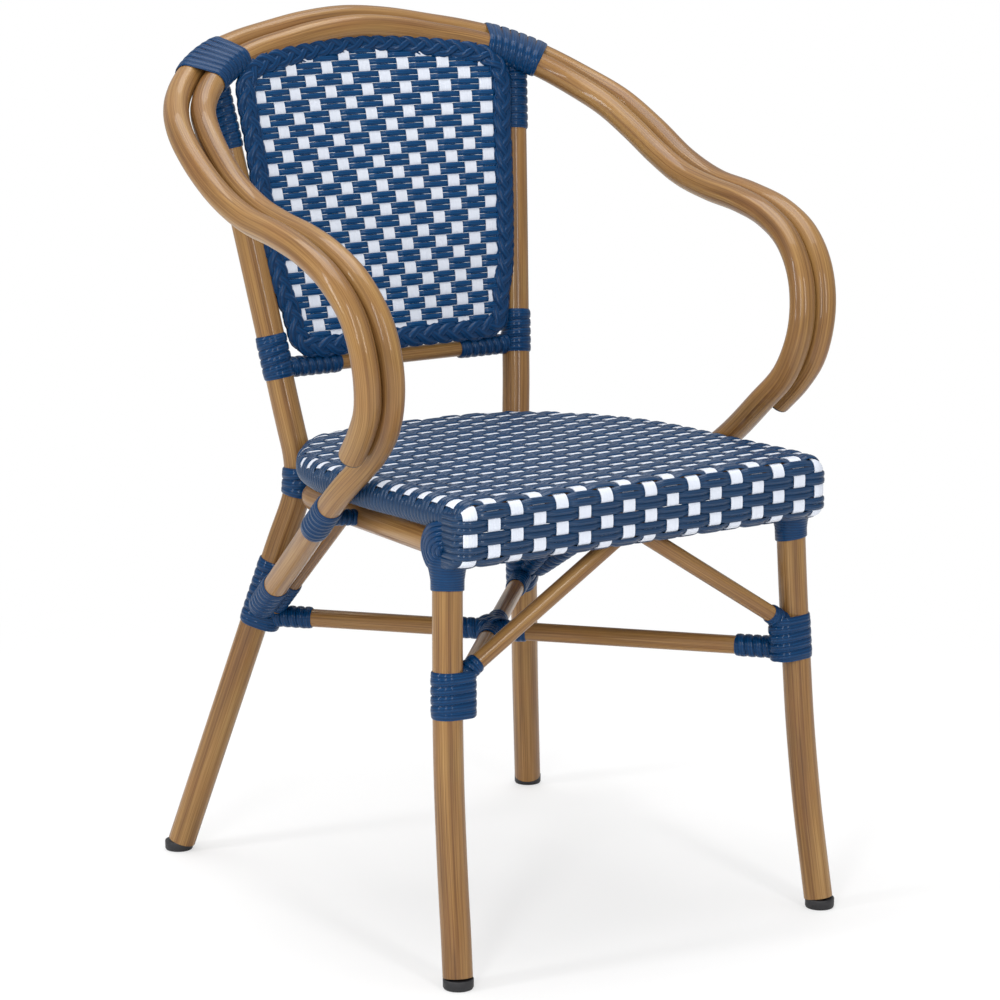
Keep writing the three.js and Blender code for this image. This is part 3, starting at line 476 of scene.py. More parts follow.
# Sizes of the frame, as the CAD has them
LEG_RADIUS = 14.0
ARM_RADIUS = 12.5
RAIL_RADIUS = 12.5
RIM_RADIUS = 11.0
STRETCHER_RADIUS = 9.0
BRACE_RADIUS = 8.0
BACK_RAIL_RADIUS = 8.0
TOUCH = 0.3

# Hoop: shares of the half width, of the depth forward from the back, and of the drop from the top
HOOP_HALF, HOOP_BACK, HOOP_DEPTH, HOOP_TOP, HOOP_DROP = 273.0, 284.0, 456.0, 840.0, 360.0
HOOP_SHARES = [
    (0, 0, 0), (0.176, 0.002, 0.01), (0.348, 0.012, 0.032), (0.502, 0.031, 0.054), (0.641, 0.061, 0.083),
    (0.769, 0.11, 0.128), (0.879, 0.178, 0.186), (0.952, 0.265, 0.244), (0.985, 0.362, 0.314),
    (0.993, 0.478, 0.392), (0.995, 0.592, 0.439), (1, 0.715, 0.461), (1.002, 0.825, 0.492),
    (0.993, 0.914, 0.546), (0.974, 0.976, 0.631), (0.956, 1.001, 0.739), (0.934, 0.989, 0.858),
    (0.919, 0.95, 0.933), (0.901, 0.897, 1),
]


def hoop_half(side):
    return [Vector((side * HOOP_HALF * x, HOOP_BACK - HOOP_DEPTH * y, HOOP_TOP - HOOP_DROP * z))
            for x, y, z in HOOP_SHARES]


outer_line = smooth_line(hoop_half(-1)[::-1] + hoop_half(1)[1:])

# The inner tube lies inward, and at the back below; the two part a little at the corners
INWARD_POWER, INWARD_FALL = 1.7, 0.33
CORNER_GAP, CORNER_SHARE, CORNER_SPREAD_SHARE = 3.0, 0.3, 0.14


def inward_at(place, along):
    """Direction from the outer hoop tube to the inner one."""
    back = (max(place.y, 0.0) / HOOP_BACK) ** INWARD_POWER
    inward = Vector((-place.x / HOOP_HALF, -back, -INWARD_FALL * back))
    return (inward - along * inward.dot(along)).normalized()


def inner_at(share):
    place = outer_line.at(share)
    depth_share = (HOOP_BACK - place.y) / HOOP_DEPTH
    opening = CORNER_GAP * max(0.0, 1 - abs(depth_share - CORNER_SHARE) / CORNER_SPREAD_SHARE)
    return place + inward_at(place, outer_line.along(share)) * (2 * ARM_RADIUS + TOUCH + opening)


# Legs: shares of the way between named points
WAIST = Vector((131.0, 165.0, 404.0))
POST_TOP = Vector((178.0, 243.0, 790.0))
REAR_FOOT = Vector((217.0, 269.0, 0.0))
POST_SHARES = [(0.021, 0.03, 0.054), (0.07, 0.072, 0.098), (0.153, 0.141, 0.171), (0.311, 0.299, 0.329),
               (0.604, 0.594, 0.619), (1, 1, 1)]
REAR_LEG_SHARES = [(0.014, 0, 0.045), (0.04, 0.012, 0.074), (0.071, 0.034, 0.101), (0.155, 0.102, 0.168),
                   (0.3, 0.241, 0.304), (0.455, 0.409, 0.458), (0.651, 0.629, 0.656), (1, 1, 1)]
FRONT_TOP = Vector((195.0, -206.0, 436.5))
FRONT_FOOT = Vector((211.0, -246.0, 0.0))
FRONT_LEG_SHARES = [(0, 0, 0), (0.06, 0.025, 0.06), (0.25, 0.13, 0.28), (0.4, 0.225, 0.43),
                    (0.53, 0.36, 0.59), (0.7, 0.6, 0.77), (0.85, 0.82, 0.895), (1, 1, 1)]


def mirrored(side, place):
    return Vector((side * place.x, place.y, place.z))


def between(side, start, end, shares):
    return [Vector((side * mix(start.x, end.x, x), mix(start.y, end.y, y), mix(start.z, end.z, z)))
            for x, y, z in shares]


rear_lines, front_lines = {}, {}
for name, side in SIDES.items():
    post = between(side, WAIST, POST_TOP, POST_SHARES)
    leg = between(side, WAIST, REAR_FOOT, REAR_LEG_SHARES)
    rear_lines[name] = smooth_line(post[::-1] + [mirrored(side, WAIST)] + leg)
    front_lines[name] = smooth_line(between(side, FRONT_TOP, FRONT_FOOT, FRONT_LEG_SHARES))

# Inner hoop tube: beside the outer one, past the seat, down to the rear legs
ARM_PASS = Vector((221.1, -62.0, 431.0))
ARM_FOOT_HEIGHT, ARM_FOOT_OUT, ARM_FOOT_AHEAD = 262.0, 3.0, 6.0
INNER_POINTS = 36
ARM_TAIL_SHARE = 0.17


def arm_tail(side, name):
    foot = rear_lines[name].at_height(ARM_FOOT_HEIGHT)
    foot += Vector((side * ARM_FOOT_OUT, -ARM_FOOT_AHEAD, 0))
    passing = mirrored(side, ARM_PASS)
    return [foot, passing.lerp(foot, 0.5), passing]


beside_outer = [inner_at(i / INNER_POINTS) for i in range(INNER_POINTS + 1)]
inner_line = smooth_line(arm_tail(-1, "left") + beside_outer + arm_tail(1, "right")[::-1], steps=14)


def arm_share_at(side, height):
    """Share of the inner tube at a height beside the seat."""
    start, end = (0, ARM_TAIL_SHARE) if side < 0 else (1 - ARM_TAIL_SHARE, 1)
    return inner_line.share_at_height(height, start, end)


# Rim of the seat
RIM_HALF, RIM_FRONT, RIM_BACK, RIM_HEIGHT = 194.5, 236.5, 161.0, 436.5
SEAT_SLOPE = 9.0 / (RIM_FRONT + RIM_BACK)
RIM_CORNER = 16.0
RIM_REAR_CORNER = (118.9, 140.6)
RIM_SIDE_SHARES = [(1, 0.25), (1, 0.45), (0.987, 0.585), (0.943, 0.69), (0.864, 0.79)]
RIM_REAR_SHARES = [(0.44, 0.985), (0.25, 0.996)]


def seat_drop(y):
    return SEAT_SLOPE * (y + RIM_FRONT)


def rim_half_points(side):
    flat = [(RIM_HALF * 0.5, -RIM_FRONT)]
    for i in range(4):
        turn = pi / 2 * i / 3
        flat.append((RIM_HALF - RIM_CORNER + RIM_CORNER * sin(turn),
                     -RIM_FRONT + RIM_CORNER - RIM_CORNER * cos(turn)))
    depth = RIM_FRONT + RIM_BACK
    flat += [(RIM_HALF * x, -RIM_FRONT + depth * y) for x, y in RIM_SIDE_SHARES]
    flat.append(RIM_REAR_CORNER)
    flat += [(RIM_HALF * x, -RIM_FRONT + depth * y) for x, y in RIM_REAR_SHARES]
    return [Vector((side * x, y, RIM_HEIGHT - seat_drop(y))) for x, y in flat]


rim_rear = Vector((0, RIM_BACK, RIM_HEIGHT - seat_drop(RIM_BACK)))
rim_line = smooth_line([Vector((0, -RIM_FRONT, RIM_HEIGHT))] + rim_half_points(1) + [rim_rear]
                       + rim_half_points(-1)[::-1], closed=True)

# Support rail under the seat
RAIL_START = Vector((195.0, -206.0, 404.0))
RAIL_BEND, RAIL_HALF, RAIL_REAR_HEIGHT, RAIL_BEND_BACK = 42.0, 146.0, 387.0, 97.9


def rail_half(side):
    start = mirrored(side, RAIL_START)
    end = Vector((side * RAIL_HALF, RAIL_BEND_BACK, RAIL_REAR_HEIGHT))
    points = [start.lerp(end, share) for share in (0, 0.4, 0.7)]
    for i in range(6):
        turn = pi / 2 * i / 5
        points.append(Vector((side * (RAIL_HALF - RAIL_BEND + RAIL_BEND * cos(turn)),
                              RAIL_BEND_BACK + RAIL_BEND * sin(turn), RAIL_REAR_HEIGHT)))
    return points


rail_line = smooth_line(rail_half(-1) + rail_half(1)[::-1])


def on_side_rail(side, y):
    share = (y - RAIL_START.y) / (RAIL_BEND_BACK - RAIL_START.y)
    return Vector((side * mix(RAIL_START.x, RAIL_HALF, share), y, mix(RAIL_START.z, RAIL_REAR_HEIGHT, share)))


# Stretchers and braces
STRETCHER_HEIGHT = 255.0


def joint(lines, name, height):
    place = lines[name].at_height(height)
    return Vector((place.x, place.y, height))


whole_line = straight_line(joint(rear_lines, "left", STRETCHER_HEIGHT),
                           joint(front_lines, "right", STRETCHER_HEIGHT))
cross_share = abs(whole_line.at(0).x) / (abs(whole_line.at(0).x) + whole_line.at(1).x)
crossing = whole_line.at(cross_share)
front_half_line = straight_line(joint(front_lines, "left", STRETCHER_HEIGHT), crossing)
rear_half_line = straight_line(joint(rear_lines, "right", STRETCHER_HEIGHT), crossing)


def inside(line, start_gap, end_gap):
    """Shares that leave a gap in millimetres at each end."""
    return {"start": start_gap / line.length, "end": 1 - end_gap / line.length}


# How far a tube stops from the axis of what it meets
RAIL_GAP, LEG_GAP, CROSSING_GAP, BRACE_GAP, FRONT_TOP_GAP, FOOT_CAP_GAP = 10, 11, 7, 12, 14, 10.3
INNER_END_SHARE = 0.006
RIM_END_SHARE = 0.9999

tube("hoop_outer", outer_line, ARM_RADIUS)
tube("hoop_inner", inner_line, ARM_RADIUS, start=INNER_END_SHARE, end=1 - INNER_END_SHARE)
tube("seat_rim", rim_line, RIM_RADIUS, sides=16, end=RIM_END_SHARE)
tube("seat_support_rail", rail_line, RAIL_RADIUS, **inside(rail_line, RAIL_GAP, RAIL_GAP))
for name, line, end_gap in (("whole", whole_line, LEG_GAP), ("half_front", front_half_line, CROSSING_GAP),
                            ("half_rear", rear_half_line, CROSSING_GAP)):
    tube("stretcher_" + name, line, STRETCHER_RADIUS, spacing=40, **inside(line, LEG_GAP, end_gap))

FRONT_BRACE_FOOT, FRONT_BRACE_TOP_Y, FRONT_BRACE_TOP = 275.0, -217.6, 396.0
REAR_BRACE_FOOT, REAR_BRACE_INWARD, REAR_BRACE_AHEAD, REAR_BRACE_TOP_Y = 256.0, 11.0, 9.0, 30.0
brace_lines = {}
for name, side in SIDES.items():
    rear = rear_lines[name]
    tube("rear_leg_" + name, rear, LEG_RADIUS, **inside(rear, 0, FOOT_CAP_GAP))
    front = front_lines[name]
    tube("front_leg_" + name, front, LEG_RADIUS, **inside(front, FRONT_TOP_GAP, FOOT_CAP_GAP))
    top = Vector((side * (BRACE_RADIUS + TOUCH), FRONT_BRACE_TOP_Y, FRONT_BRACE_TOP))
    line = brace_lines["front_" + name] = straight_line(front.at_height(FRONT_BRACE_FOOT), top)
    tube("front_brace_" + name, line, BRACE_RADIUS, spacing=30, **inside(line, LEG_GAP, 0))
    foot = rear.at_height(REAR_BRACE_FOOT) + Vector((-side * REAR_BRACE_INWARD, -REAR_BRACE_AHEAD, 0))
    line = brace_lines["rear_" + name] = straight_line(on_side_rail(side, REAR_BRACE_TOP_Y), foot)
    tube("rear_brace_" + name, line, BRACE_RADIUS, spacing=30, **inside(line, RAIL_GAP, BRACE_GAP))

BACK_RAIL_HEIGHT = 506.0
back_rail_line = straight_line(*(joint(rear_lines, name, BACK_RAIL_HEIGHT) for name in SIDES))
tube("back_rail", back_rail_line, BACK_RAIL_RADIUS, spacing=30, **inside(back_rail_line, LEG_GAP, LEG_GAP))

APRON_RAIL_HEIGHT, APRON_RAIL_HALF = 408.0, 198.0
SPACER_ASIDE, SPACER_RADIUS, SPACER_GAP = 140.0, 5.0, 9
CROSS_BAR_RADIUS = 7.0
apron_ends = [Vector((side * APRON_RAIL_HALF, -RIM_FRONT, APRON_RAIL_HEIGHT)) for side in SIDES.values()]
tube("apron_rail", straight_line(*apron_ends), RIM_RADIUS, spacing=40, sides=16)
for name, side in SIDES.items():
    spacer_ends = [Vector((side * SPACER_ASIDE, -RIM_FRONT, height))
                   for height in (APRON_RAIL_HEIGHT + SPACER_GAP, RIM_HEIGHT - SPACER_GAP)]
    tube("apron_spacer_" + name, straight_line(*spacer_ends), SPACER_RADIUS, spacing=6, sides=16)
for name, y, half in (("front", -95.0, 184.0), ("rear", 65.0, 164.0)):
    height = RIM_HEIGHT - seat_drop(y)
    bar_line = straight_line(Vector((-half, y, height)), Vector((half, y, height)))
    tube("seat_cross_bar_" + name, bar_line, CROSS_BAR_RADIUS, spacing=30, sides=20)

# Foot caps, as reach and height, and plugs of the hoop's cut ends, as step and share of its radius
CAP_PROFILE = [(0, 0), (11.6, 0), (13.4, 0.5), (14.2, 1.9), (14.3, 9.2), (13.8, 10.0), (0, 10.0)]
PLUG_PROFILE = [(-12, 0.8), (0.1, 0.8), (0.1, 0.98), (1.6, 0.97), (2.6, 0.88), (2.9, 0.7)]
for name, side in SIDES.items():
    for lines, row in ((rear_lines, "rear"), (front_lines, "front")):
        foot = lines[name].at(1.0)
        bm = fresh_mesh()
        corners = [bm.verts.new((foot.x + across, foot.y, height)) for across, height in CAP_PROFILE]
        edges = [bm.edges.new(pair) for pair in zip(corners, corners[1:])]
        bmesh.ops.spin(bm, geom=corners + edges, cent=(foot.x, foot.y, 0), axis=(0, 0, 1),
                       angle=2 * pi, steps=40, use_merge=True)
        bmesh.ops.remove_doubles(bm, verts=bm.verts, dist=0.001)
        cap = f"{row}_foot_cap_{name}"
        piece(cap + "_moulding", bm, black_moulding, "black_plastic", cap)
    end = 0.0 if side < 0 else 1.0
    place = outer_line.at(end)
    along = outer_line.along(end) * (-1 if side < 0 else 1)
    across = along.orthogonal().normalized()
    bm = fresh_mesh()
    frames = [(place + along * step, across * share, along.cross(across) * share, step)
              for step, share in PLUG_PROFILE]
    carried(bm, frames, round_section(ARM_RADIUS, TUBE_SIDES))
    piece("hoop_plug_" + name + "_moulding", bm, black_moulding, "black_plastic", "hoop_plug_" + name)


# Bindings

LOOP_STEPS, END_STEPS, END_SINK, LOOP_SINK = 24, 3, 1.6, 0.3
STRAND_PITCH, WIDTH_SHARE, STRAND_GAP, ROUNDING = 8.8, 0.985, 0.15, 4.0


def bind(name, line, radius, beside_at, middle, strands, pitch=STRAND_PITCH, spread=0.0, offset=0.0,
         thickness=1.7, slack=0.0, replace=True):
    """One flat strand wound round a tube, or round two side by side, with a level loop under each end."""
    frames = []
    distance = 0.0
    turns = strands - 1
    count = (turns + 2) * LOOP_STEPS
    for i in range(count + 1):
        turn = i / LOOP_STEPS - 1
        share = (middle + (min(max(turn, 0), turns) - turns / 2) * pitch) / line.length
        along = line.along(share)
        towards = beside_at(share)
        beside = (towards - along * towards.dot(along)).normalized()
        angle = 2 * pi * turn
        outward = beside * cos(angle) + along.cross(beside) * sin(angle)
        wide = min(max(cos(angle) * ROUNDING, -1.0), 1.0) * spread + offset
        sink = END_SINK * (1 - smooth_share(min(i, count - i) / END_STEPS))
        sink += LOOP_SINK * smooth_share(max(-turn, turn - turns) * 6)
        place = line.at(share) + outward * (radius + STRAND_GAP + slack - sink) + beside * wide
        if frames:
            distance += (place - frames[-1][0]).length
        frames.append((place, along, outward, distance))
    bm = fresh_mesh()
    carried(bm, frames, domed_section(pitch * WIDTH_SHARE, thickness))
    return piece(name + "_strand", bm, blue_flat, "blue_strand", *([name] if replace else []))


def toward(x, y, z):
    """The same direction all along a line."""
    return lambda share: Vector((x, y, z))


along_x, along_y, upward, forward = toward(1, 0, 0), toward(0, 1, 0), toward(0, 0, 1), toward(0, -1, 0)
HOOP_JOINT_SHARE = 0.68
HOOP_SPINE_REACH = 51.0 * 0.75


def hoop_spine(side):
    """Line midway between the two hoop tubes, where the post joins them."""
    centre = 0.5
    for i in range(401):
        share = mix(0.5, 0.0 if side < 0 else 1.0, i / 400)
        if abs(outer_line.at(share).x) > HOOP_JOINT_SHARE * HOOP_HALF:
            break
        centre = share
    reach = HOOP_SPINE_REACH / outer_line.length

    def outer_share(share):
        return centre + mix(-reach, reach, share)

    points = [outer_line.at(outer_share(i / 10)).lerp(inner_at(outer_share(i / 10)), 0.5) for i in range(11)]

    def beside_at(share):
        return (inner_at(outer_share(share)) - outer_line.at(outer_share(share))).normalized()

    return smooth_line(points), beside_at


for name, side in SIDES.items():
    rear, front = rear_lines[name], front_lines[name]

    def bind_leg(binding, line, height, strands, beside_at=along_x, **more):
        middle = line.share_at_height(height) * line.length
        bind(f"binding_{binding}_{name}", line, LEG_RADIUS, beside_at, middle, strands, **more)

    bind_leg("post_top", rear, 756.0, 8)
    bind_leg("post_low", rear, 517.0, 5)
    bind_leg("rear_leg", rear, 279.0, 8, toward(-side * REAR_BRACE_INWARD, -REAR_BRACE_AHEAD, 0), spread=5.0,
             offset=5.0)
    bind_leg("seat_rear", rear, 394.0, 3, forward, pitch=9.6, spread=3.0, offset=3.0, thickness=2.4)
    bind_leg("front_leg", front, 268.0, 5, toward(-side, 0, 0), spread=6.5, offset=6.5)
    bind("front_brace_end_" + name, brace_lines["front_" + name], BRACE_RADIUS, upward, middle=24.0,
         strands=4, pitch=7.0, replace=False)
    line = brace_lines["rear_" + name]
    bind("rear_brace_end_" + name, line, BRACE_RADIUS, upward, middle=line.length - 40, strands=6, pitch=8.0,
         replace=False)
    spine, beside_at = hoop_spine(side)
    bind("binding_hoop_" + name, spine, ARM_RADIUS, beside_at, middle=spine.length / 2, strands=7, pitch=9.0,
         spread=ARM_RADIUS + TOUCH / 2, slack=0.4)

    def from_end(line, inset):
        return inset if side < 0 else line.length - inset

    bind("binding_back_rail_" + name, back_rail_line, BACK_RAIL_RADIUS, along_y,
         middle=from_end(back_rail_line, 41.0), strands=7, thickness=2.5)
    arm_middle = arm_share_at(side, 398.0) * inner_line.length
    bind("binding_arm_" + name, inner_line, ARM_RADIUS, along_x, arm_middle, strands=7, pitch=8.5)
    bind("binding_arm_end_" + name, inner_line, ARM_RADIUS, along_x,
         middle=from_end(inner_line, 40.5), strands=7, pitch=8.6)

bind("binding_stretcher_cross", whole_line, STRETCHER_RADIUS, upward,
     middle=cross_share * whole_line.length, strands=8)
for name, line, middle, strands in (
    ("rear_left", whole_line, 34.0, 6),
    ("front_right", straight_line(whole_line.at(1), whole_line.at(0)), 33.5, 6),
    ("front_left", front_half_line, 33.5, 6),
    ("rear_right", rear_half_line, 38.0, 7),
):
    bind("binding_stretcher_" + name, line, STRETCHER_RADIUS, upward, middle, strands, pitch=8.6,
         thickness=2.1)


# Loops over the crossing: half length of the middle one, how much shorter the others are, and their step,
# height and width
LOOP_HALF, LOOP_NARROWING, LOOP_STEP, LOOP_RISE, LOOP_WIDTH = 17.0, 2.5, 8.0, 10.4, 8.2
LOOP_THICKNESS, LOOP_LIFT, LOOP_CORNERS = 1.8, 1.5, 32


def crossing_loops():
    """Strands laid slantwise both ways over the crossing of the stretchers."""
    bm = fresh_mesh()
    first, second = whole_line.along(0.5), rear_half_line.along(0.5)
    for way, lift in ((first + second, 0.0), (first - second, LOOP_LIFT)):
        way = way.normalized()
        aside = way.cross(Vector((0, 0, 1)))
        for step in (-1, 0, 1):
            places, outwards = [], []
            for i in range(LOOP_CORNERS):
                turn = 2 * pi * i / LOOP_CORNERS
                outward = way * cos(turn) + Vector((0, 0, 1)) * sin(turn)
                half = LOOP_HALF - LOOP_NARROWING * abs(step)
                places.append(crossing + aside * (step * LOOP_STEP) + way * (half * cos(turn))
                              + Vector((0, 0, (LOOP_RISE + lift) * sin(turn))))
                outwards.append(outward)
            carried(bm, framed(places, outwards, closed=True), domed_section(LOOP_WIDTH, LOOP_THICKNESS),
                    closed=True)
    return piece("stretcher_cross_loops", bm, blue_flat, "blue_strand")


crossing_loops()
for name, line in (("front", front_half_line), ("rear", rear_half_line)):
    bind("stretcher_cross_end_" + name, line, STRETCHER_RADIUS, upward, middle=line.length - 26.0, strands=4,
         pitch=8.6, replace=False)

# Stubs between the support rail and the arm tubes, wound with strand
STUB_HEIGHT, STUB_RADIUS, STUB_GAP, STUB_OVERLAP = 399.0, 7.0, 1.5, 2
STUB_RIB, STUB_RIBS, RIB_STEPS = 1.1, 4, 8
for name, side in SIDES.items():
    arm = inner_line.at(arm_share_at(side, STUB_HEIGHT))
    line = straight_line(on_side_rail(side, arm.y), arm)
    gap = line.length - RAIL_RADIUS - ARM_RADIUS - STUB_GAP
    bm = fresh_mesh()
    rings = []
    steps = STUB_RIBS * RIB_STEPS
    for i in range(steps + 1):
        share = (RAIL_RADIUS - STUB_OVERLAP + (gap + 2 * STUB_OVERLAP) * i / steps) / line.length
        bulge = STUB_RADIUS + STUB_RIB * abs(sin(pi * i / RIB_STEPS))
        along = line.along(share)
        across = along.cross(Vector((0, 0, 1))).normalized()
        rings.append([(line.at(share) + across * u * bulge + along.cross(across) * v * bulge,
                       Vector((share * line.length, 0, atan2(v, u) * STUB_RADIUS)))
                      for u, v in round_section(1.0, 24)])
    shell(bm, rings)
    piece("arm_stub_" + name + "_strand", bm, blue_flat, "blue_strand", "arm_stub_" + name)


# Woven seat: strips run from under the apron, over its front and back across the top, and strands cross
# them in pairs
COLUMN = 24.83
ROW_PITCH = 12.15
STRIP_WIDTH, STRIP_THICKNESS, STRIP_WAVE, STRIP_LIFT = 13.0, 0.9, 0.75, 0.2
STRIP_TOP = [(mix(STRIP_WIDTH / 2, -STRIP_WIDTH / 2, i / 4), STRIP_THICKNESS / 2) for i in range(5)]
STRIP_SECTION = STRIP_TOP + [(u, -v) for u, v in reversed(STRIP_TOP)]
SQUEEZE_SHARE, SQUEEZE_FROM, SQUEEZE_REACH = 0.06, 120, 280
WEAVE_RADIUS = 12.4
SIDE_DROP = 2.8
FACE_TOP = 19.5
FACE_BOTTOM = -13.0
ARC = pi / 2 * WEAVE_RADIUS
TOP_START = FACE_TOP + ARC
APRON_WEAVE_HEIGHT = RIM_HEIGHT - FACE_TOP + FACE_BOTTOM
ROW_TABLE = [(-5, -60.75), (2, 24.3), (3, 39.4), (4, 52.7), (40, 476.4)]
ROW_DISTANCE = [(distance, row) for row, distance in ROW_TABLE]

rim_tree = KDTree(2400)
rim_outward = []
for i in range(2400):
    along = rim_line.along(i / 2400)
    rim_outward.append(Vector((along.y, -along.x, 0)).normalized())
    place = rim_line.at(i / 2400)
    rim_tree.insert((place.x, place.y, 0), i)
rim_tree.balance()


def weave(place, pitch, row):
    """A row's wave, from -1 to 1, with wide crests, as a strand lies level over what it crosses."""
    wave = cos(pi * place / pitch)
    for _ in range(2):
        wave = wave * (1.5 - 0.5 * wave * wave)
    return wave * (-1) ** row


def stations(reach, pitch):
    """Places from one edge of the weave to the other, ten to a strip."""
    count = int(2 * reach / (pitch / 10)) + 1
    return [mix(-reach, reach, i / (count - 1)) for i in range(count)]


def squeeze(distance):
    """How much nearer together the strips lie towards the back."""
    return 1 - SQUEEZE_SHARE * min(max((distance - TOP_START - SQUEEZE_FROM) / SQUEEZE_REACH, 0), 1)


def seat_profile(distance):
    """Y, Z and the outward direction on the chair's middle line."""
    if distance >= TOP_START:
        return -RIM_FRONT + distance - TOP_START, RIM_HEIGHT + WEAVE_RADIUS, 0.0, 1.0
    face = min(max(distance, FACE_BOTTOM), FACE_TOP)
    turn = (distance - face) / WEAVE_RADIUS
    y, z = -cos(turn), sin(turn)
    return -RIM_FRONT + WEAVE_RADIUS * y, APRON_WEAVE_HEIGHT + face - FACE_BOTTOM + WEAVE_RADIUS * z, y, z


# The apron overhangs the rim's ends, a little less where it meets the top
APRON_OVERHANG, CORNER_DIP, CORNER_DIP_REACH = 1.6, 4.0, 15.0
CORNER_BLEND = 16


def apron_surface(distance, across):
    """Place, outward direction and distance past the corner, as the weave turns back round an apron's end."""
    y, z, out_y, out_z = seat_profile(distance)
    dip = CORNER_DIP * exp(-((distance - TOP_START) / CORNER_DIP_REACH) ** 2)
    half = RIM_HALF + APRON_OVERHANG - dip
    side = 1 if across >= 0 else -1
    over = abs(across) - half
    outward = Vector((0, out_y, out_z))
    if over <= 0:
        return Vector((across, y, z)), outward, over
    turn = min(over / WEAVE_RADIUS, pi / 2)
    place = Vector((side * (half + WEAVE_RADIUS * sin(turn)), y, z))
    place -= (outward if out_z > 0 else Vector((0, -1, 0))) * (WEAVE_RADIUS * (1 - cos(turn)))
    place.y += max(over - ARC, 0.0)
    return place, Vector((side * sin(turn), 0, 0)) + outward * cos(turn), over


def top_surface(distance, across):
    """The same on the seat's top, where the weave rolls over the rim."""
    y = -RIM_FRONT + distance - TOP_START
    flat = Vector((across, y, 0))
    near, index, gap = rim_tree.find(flat)
    outward = rim_outward[index]
    over = (flat - near).dot(outward)
    if over <= 0:
        return Vector((across, y, RIM_HEIGHT + WEAVE_RADIUS)), Vector((0, 0, 1)), over
    down = min(max(over - ARC, 0.0), SIDE_DROP)
    turn = (over - down) / WEAVE_RADIUS
    place = flat + outward * (WEAVE_RADIUS * sin(turn) - over)
    place.z = RIM_HEIGHT + WEAVE_RADIUS * cos(turn) - down
    return place, outward * sin(turn) + Vector((0, 0, cos(turn))), over


def seat_surface(distance, across, lift=0.0):
    """Place and outward direction on the weave, at a distance along its strips and a distance across."""
    share = smooth_share((distance - TOP_START) / CORNER_BLEND)
    if share <= 0:
        place, normal, over = apron_surface(distance, across)
    elif share >= 1:
        place, normal, over = top_surface(distance, across)
    else:
        first, second = apron_surface(distance, across), top_surface(distance, across)
        place, normal = first[0].lerp(second[0], share), first[1].lerp(second[1], share).normalized()
        over = mix(first[2], second[2], share)
    place.z -= seat_drop(place.y)
    return place + normal * lift, normal, over


# How far past the corner strands and strips reach, and where strands stop weaving and lie level
TOP_WRAP, APRON_WRAP = 2.55 * WEAVE_RADIUS + SIDE_DROP, ARC + 16
LEVEL_FROM, LEVEL_REACH, LEVEL_COLUMN = 12, 8, 8.45
STRIP_TUCK, STRIP_WRAP, STRIP_REAR_WRAP, STRIP_REAR_FROM = 2.4 * WEAVE_RADIUS, 19, 30, 330
STRIP_STEP, STRIP_SHIFT = 1.7, 31.0
STRAND_WIDTH, STRAND_THICKNESS, STRAND_WAVE, STRAND_LIFT, SPLIT = 6.2, 2.0, 1.2, 0.5, 0.25


def seat_wefts(name, rows, *stands_for):
    bm = fresh_mesh()
    section = domed_section(STRAND_WIDTH, STRAND_THICKNESS)
    for row in rows:
        for strand in (-1, 1):
            distance = table_value(ROW_TABLE, row + strand * SPLIT)
            widen = (table_value(ROW_TABLE, row + 0.5) - table_value(ROW_TABLE, row - 0.5)) / ROW_PITCH
            pitch = COLUMN * squeeze(distance)
            most = TOP_WRAP if distance > TOP_START + 4 else APRON_WRAP
            reach = 0.0
            while seat_surface(distance, reach)[2] < most:
                reach += 1.0
            places, outwards = [], []
            for across in stations(reach, pitch):
                over = seat_surface(distance, across)[2]
                wave = weave(across, pitch, row)
                level = max(smooth_share((over - LEVEL_FROM) / LEVEL_REACH),
                            smooth_share((abs(across) / pitch - LEVEL_COLUMN) * 4))
                lift = mix(-STRAND_WAVE * wave - STRAND_LIFT, STRAND_LIFT, level)
                place, normal, over = seat_surface(distance, across, lift)
                places.append(place)
                outwards.append(normal)
            frames = [(place, across * widen, above, gone)
                      for place, across, above, gone in framed(places, outwards)]
            carried(bm, frames, section)
    return piece(name, bm, blue_seat_shaded, "blue_white_weave", *stands_for)


def strip_ring(place_at, middle, lift, distance):
    """A white strip's section, on the surface that place_at gives for a place across and a lift."""
    return [(place_at(middle + u, lift + v), Vector((u, v, distance))) for u, v in STRIP_SECTION]


def seat_warps():
    bm = fresh_mesh()
    for column in range(-8, 9):
        rings = []
        distance = FACE_BOTTOM - STRIP_TUCK
        while True:
            middle = column * COLUMN * squeeze(distance)
            over = seat_surface(distance, middle)[2]
            wrap = STRIP_WRAP if distance < STRIP_REAR_FROM else STRIP_REAR_WRAP
            if distance > TOP_START + 30 and over > wrap:
                break
            wave = weave(table_value(ROW_DISTANCE, distance), 1, column)
            rings.append(strip_ring(lambda across, lift: seat_surface(distance, across, lift)[0], middle,
                                    STRIP_WAVE * wave + STRIP_LIFT, distance + column * STRIP_SHIFT))
            distance += STRIP_STEP
        shell(bm, rings)
    return piece("seat_warps", bm, white_strip, "blue_white_weave")


seat_wefts("seat_apron_wefts", range(-4, 4))
seat_wefts("seat_top_wefts", range(4, 39), "woven_seat")
seat_warps()

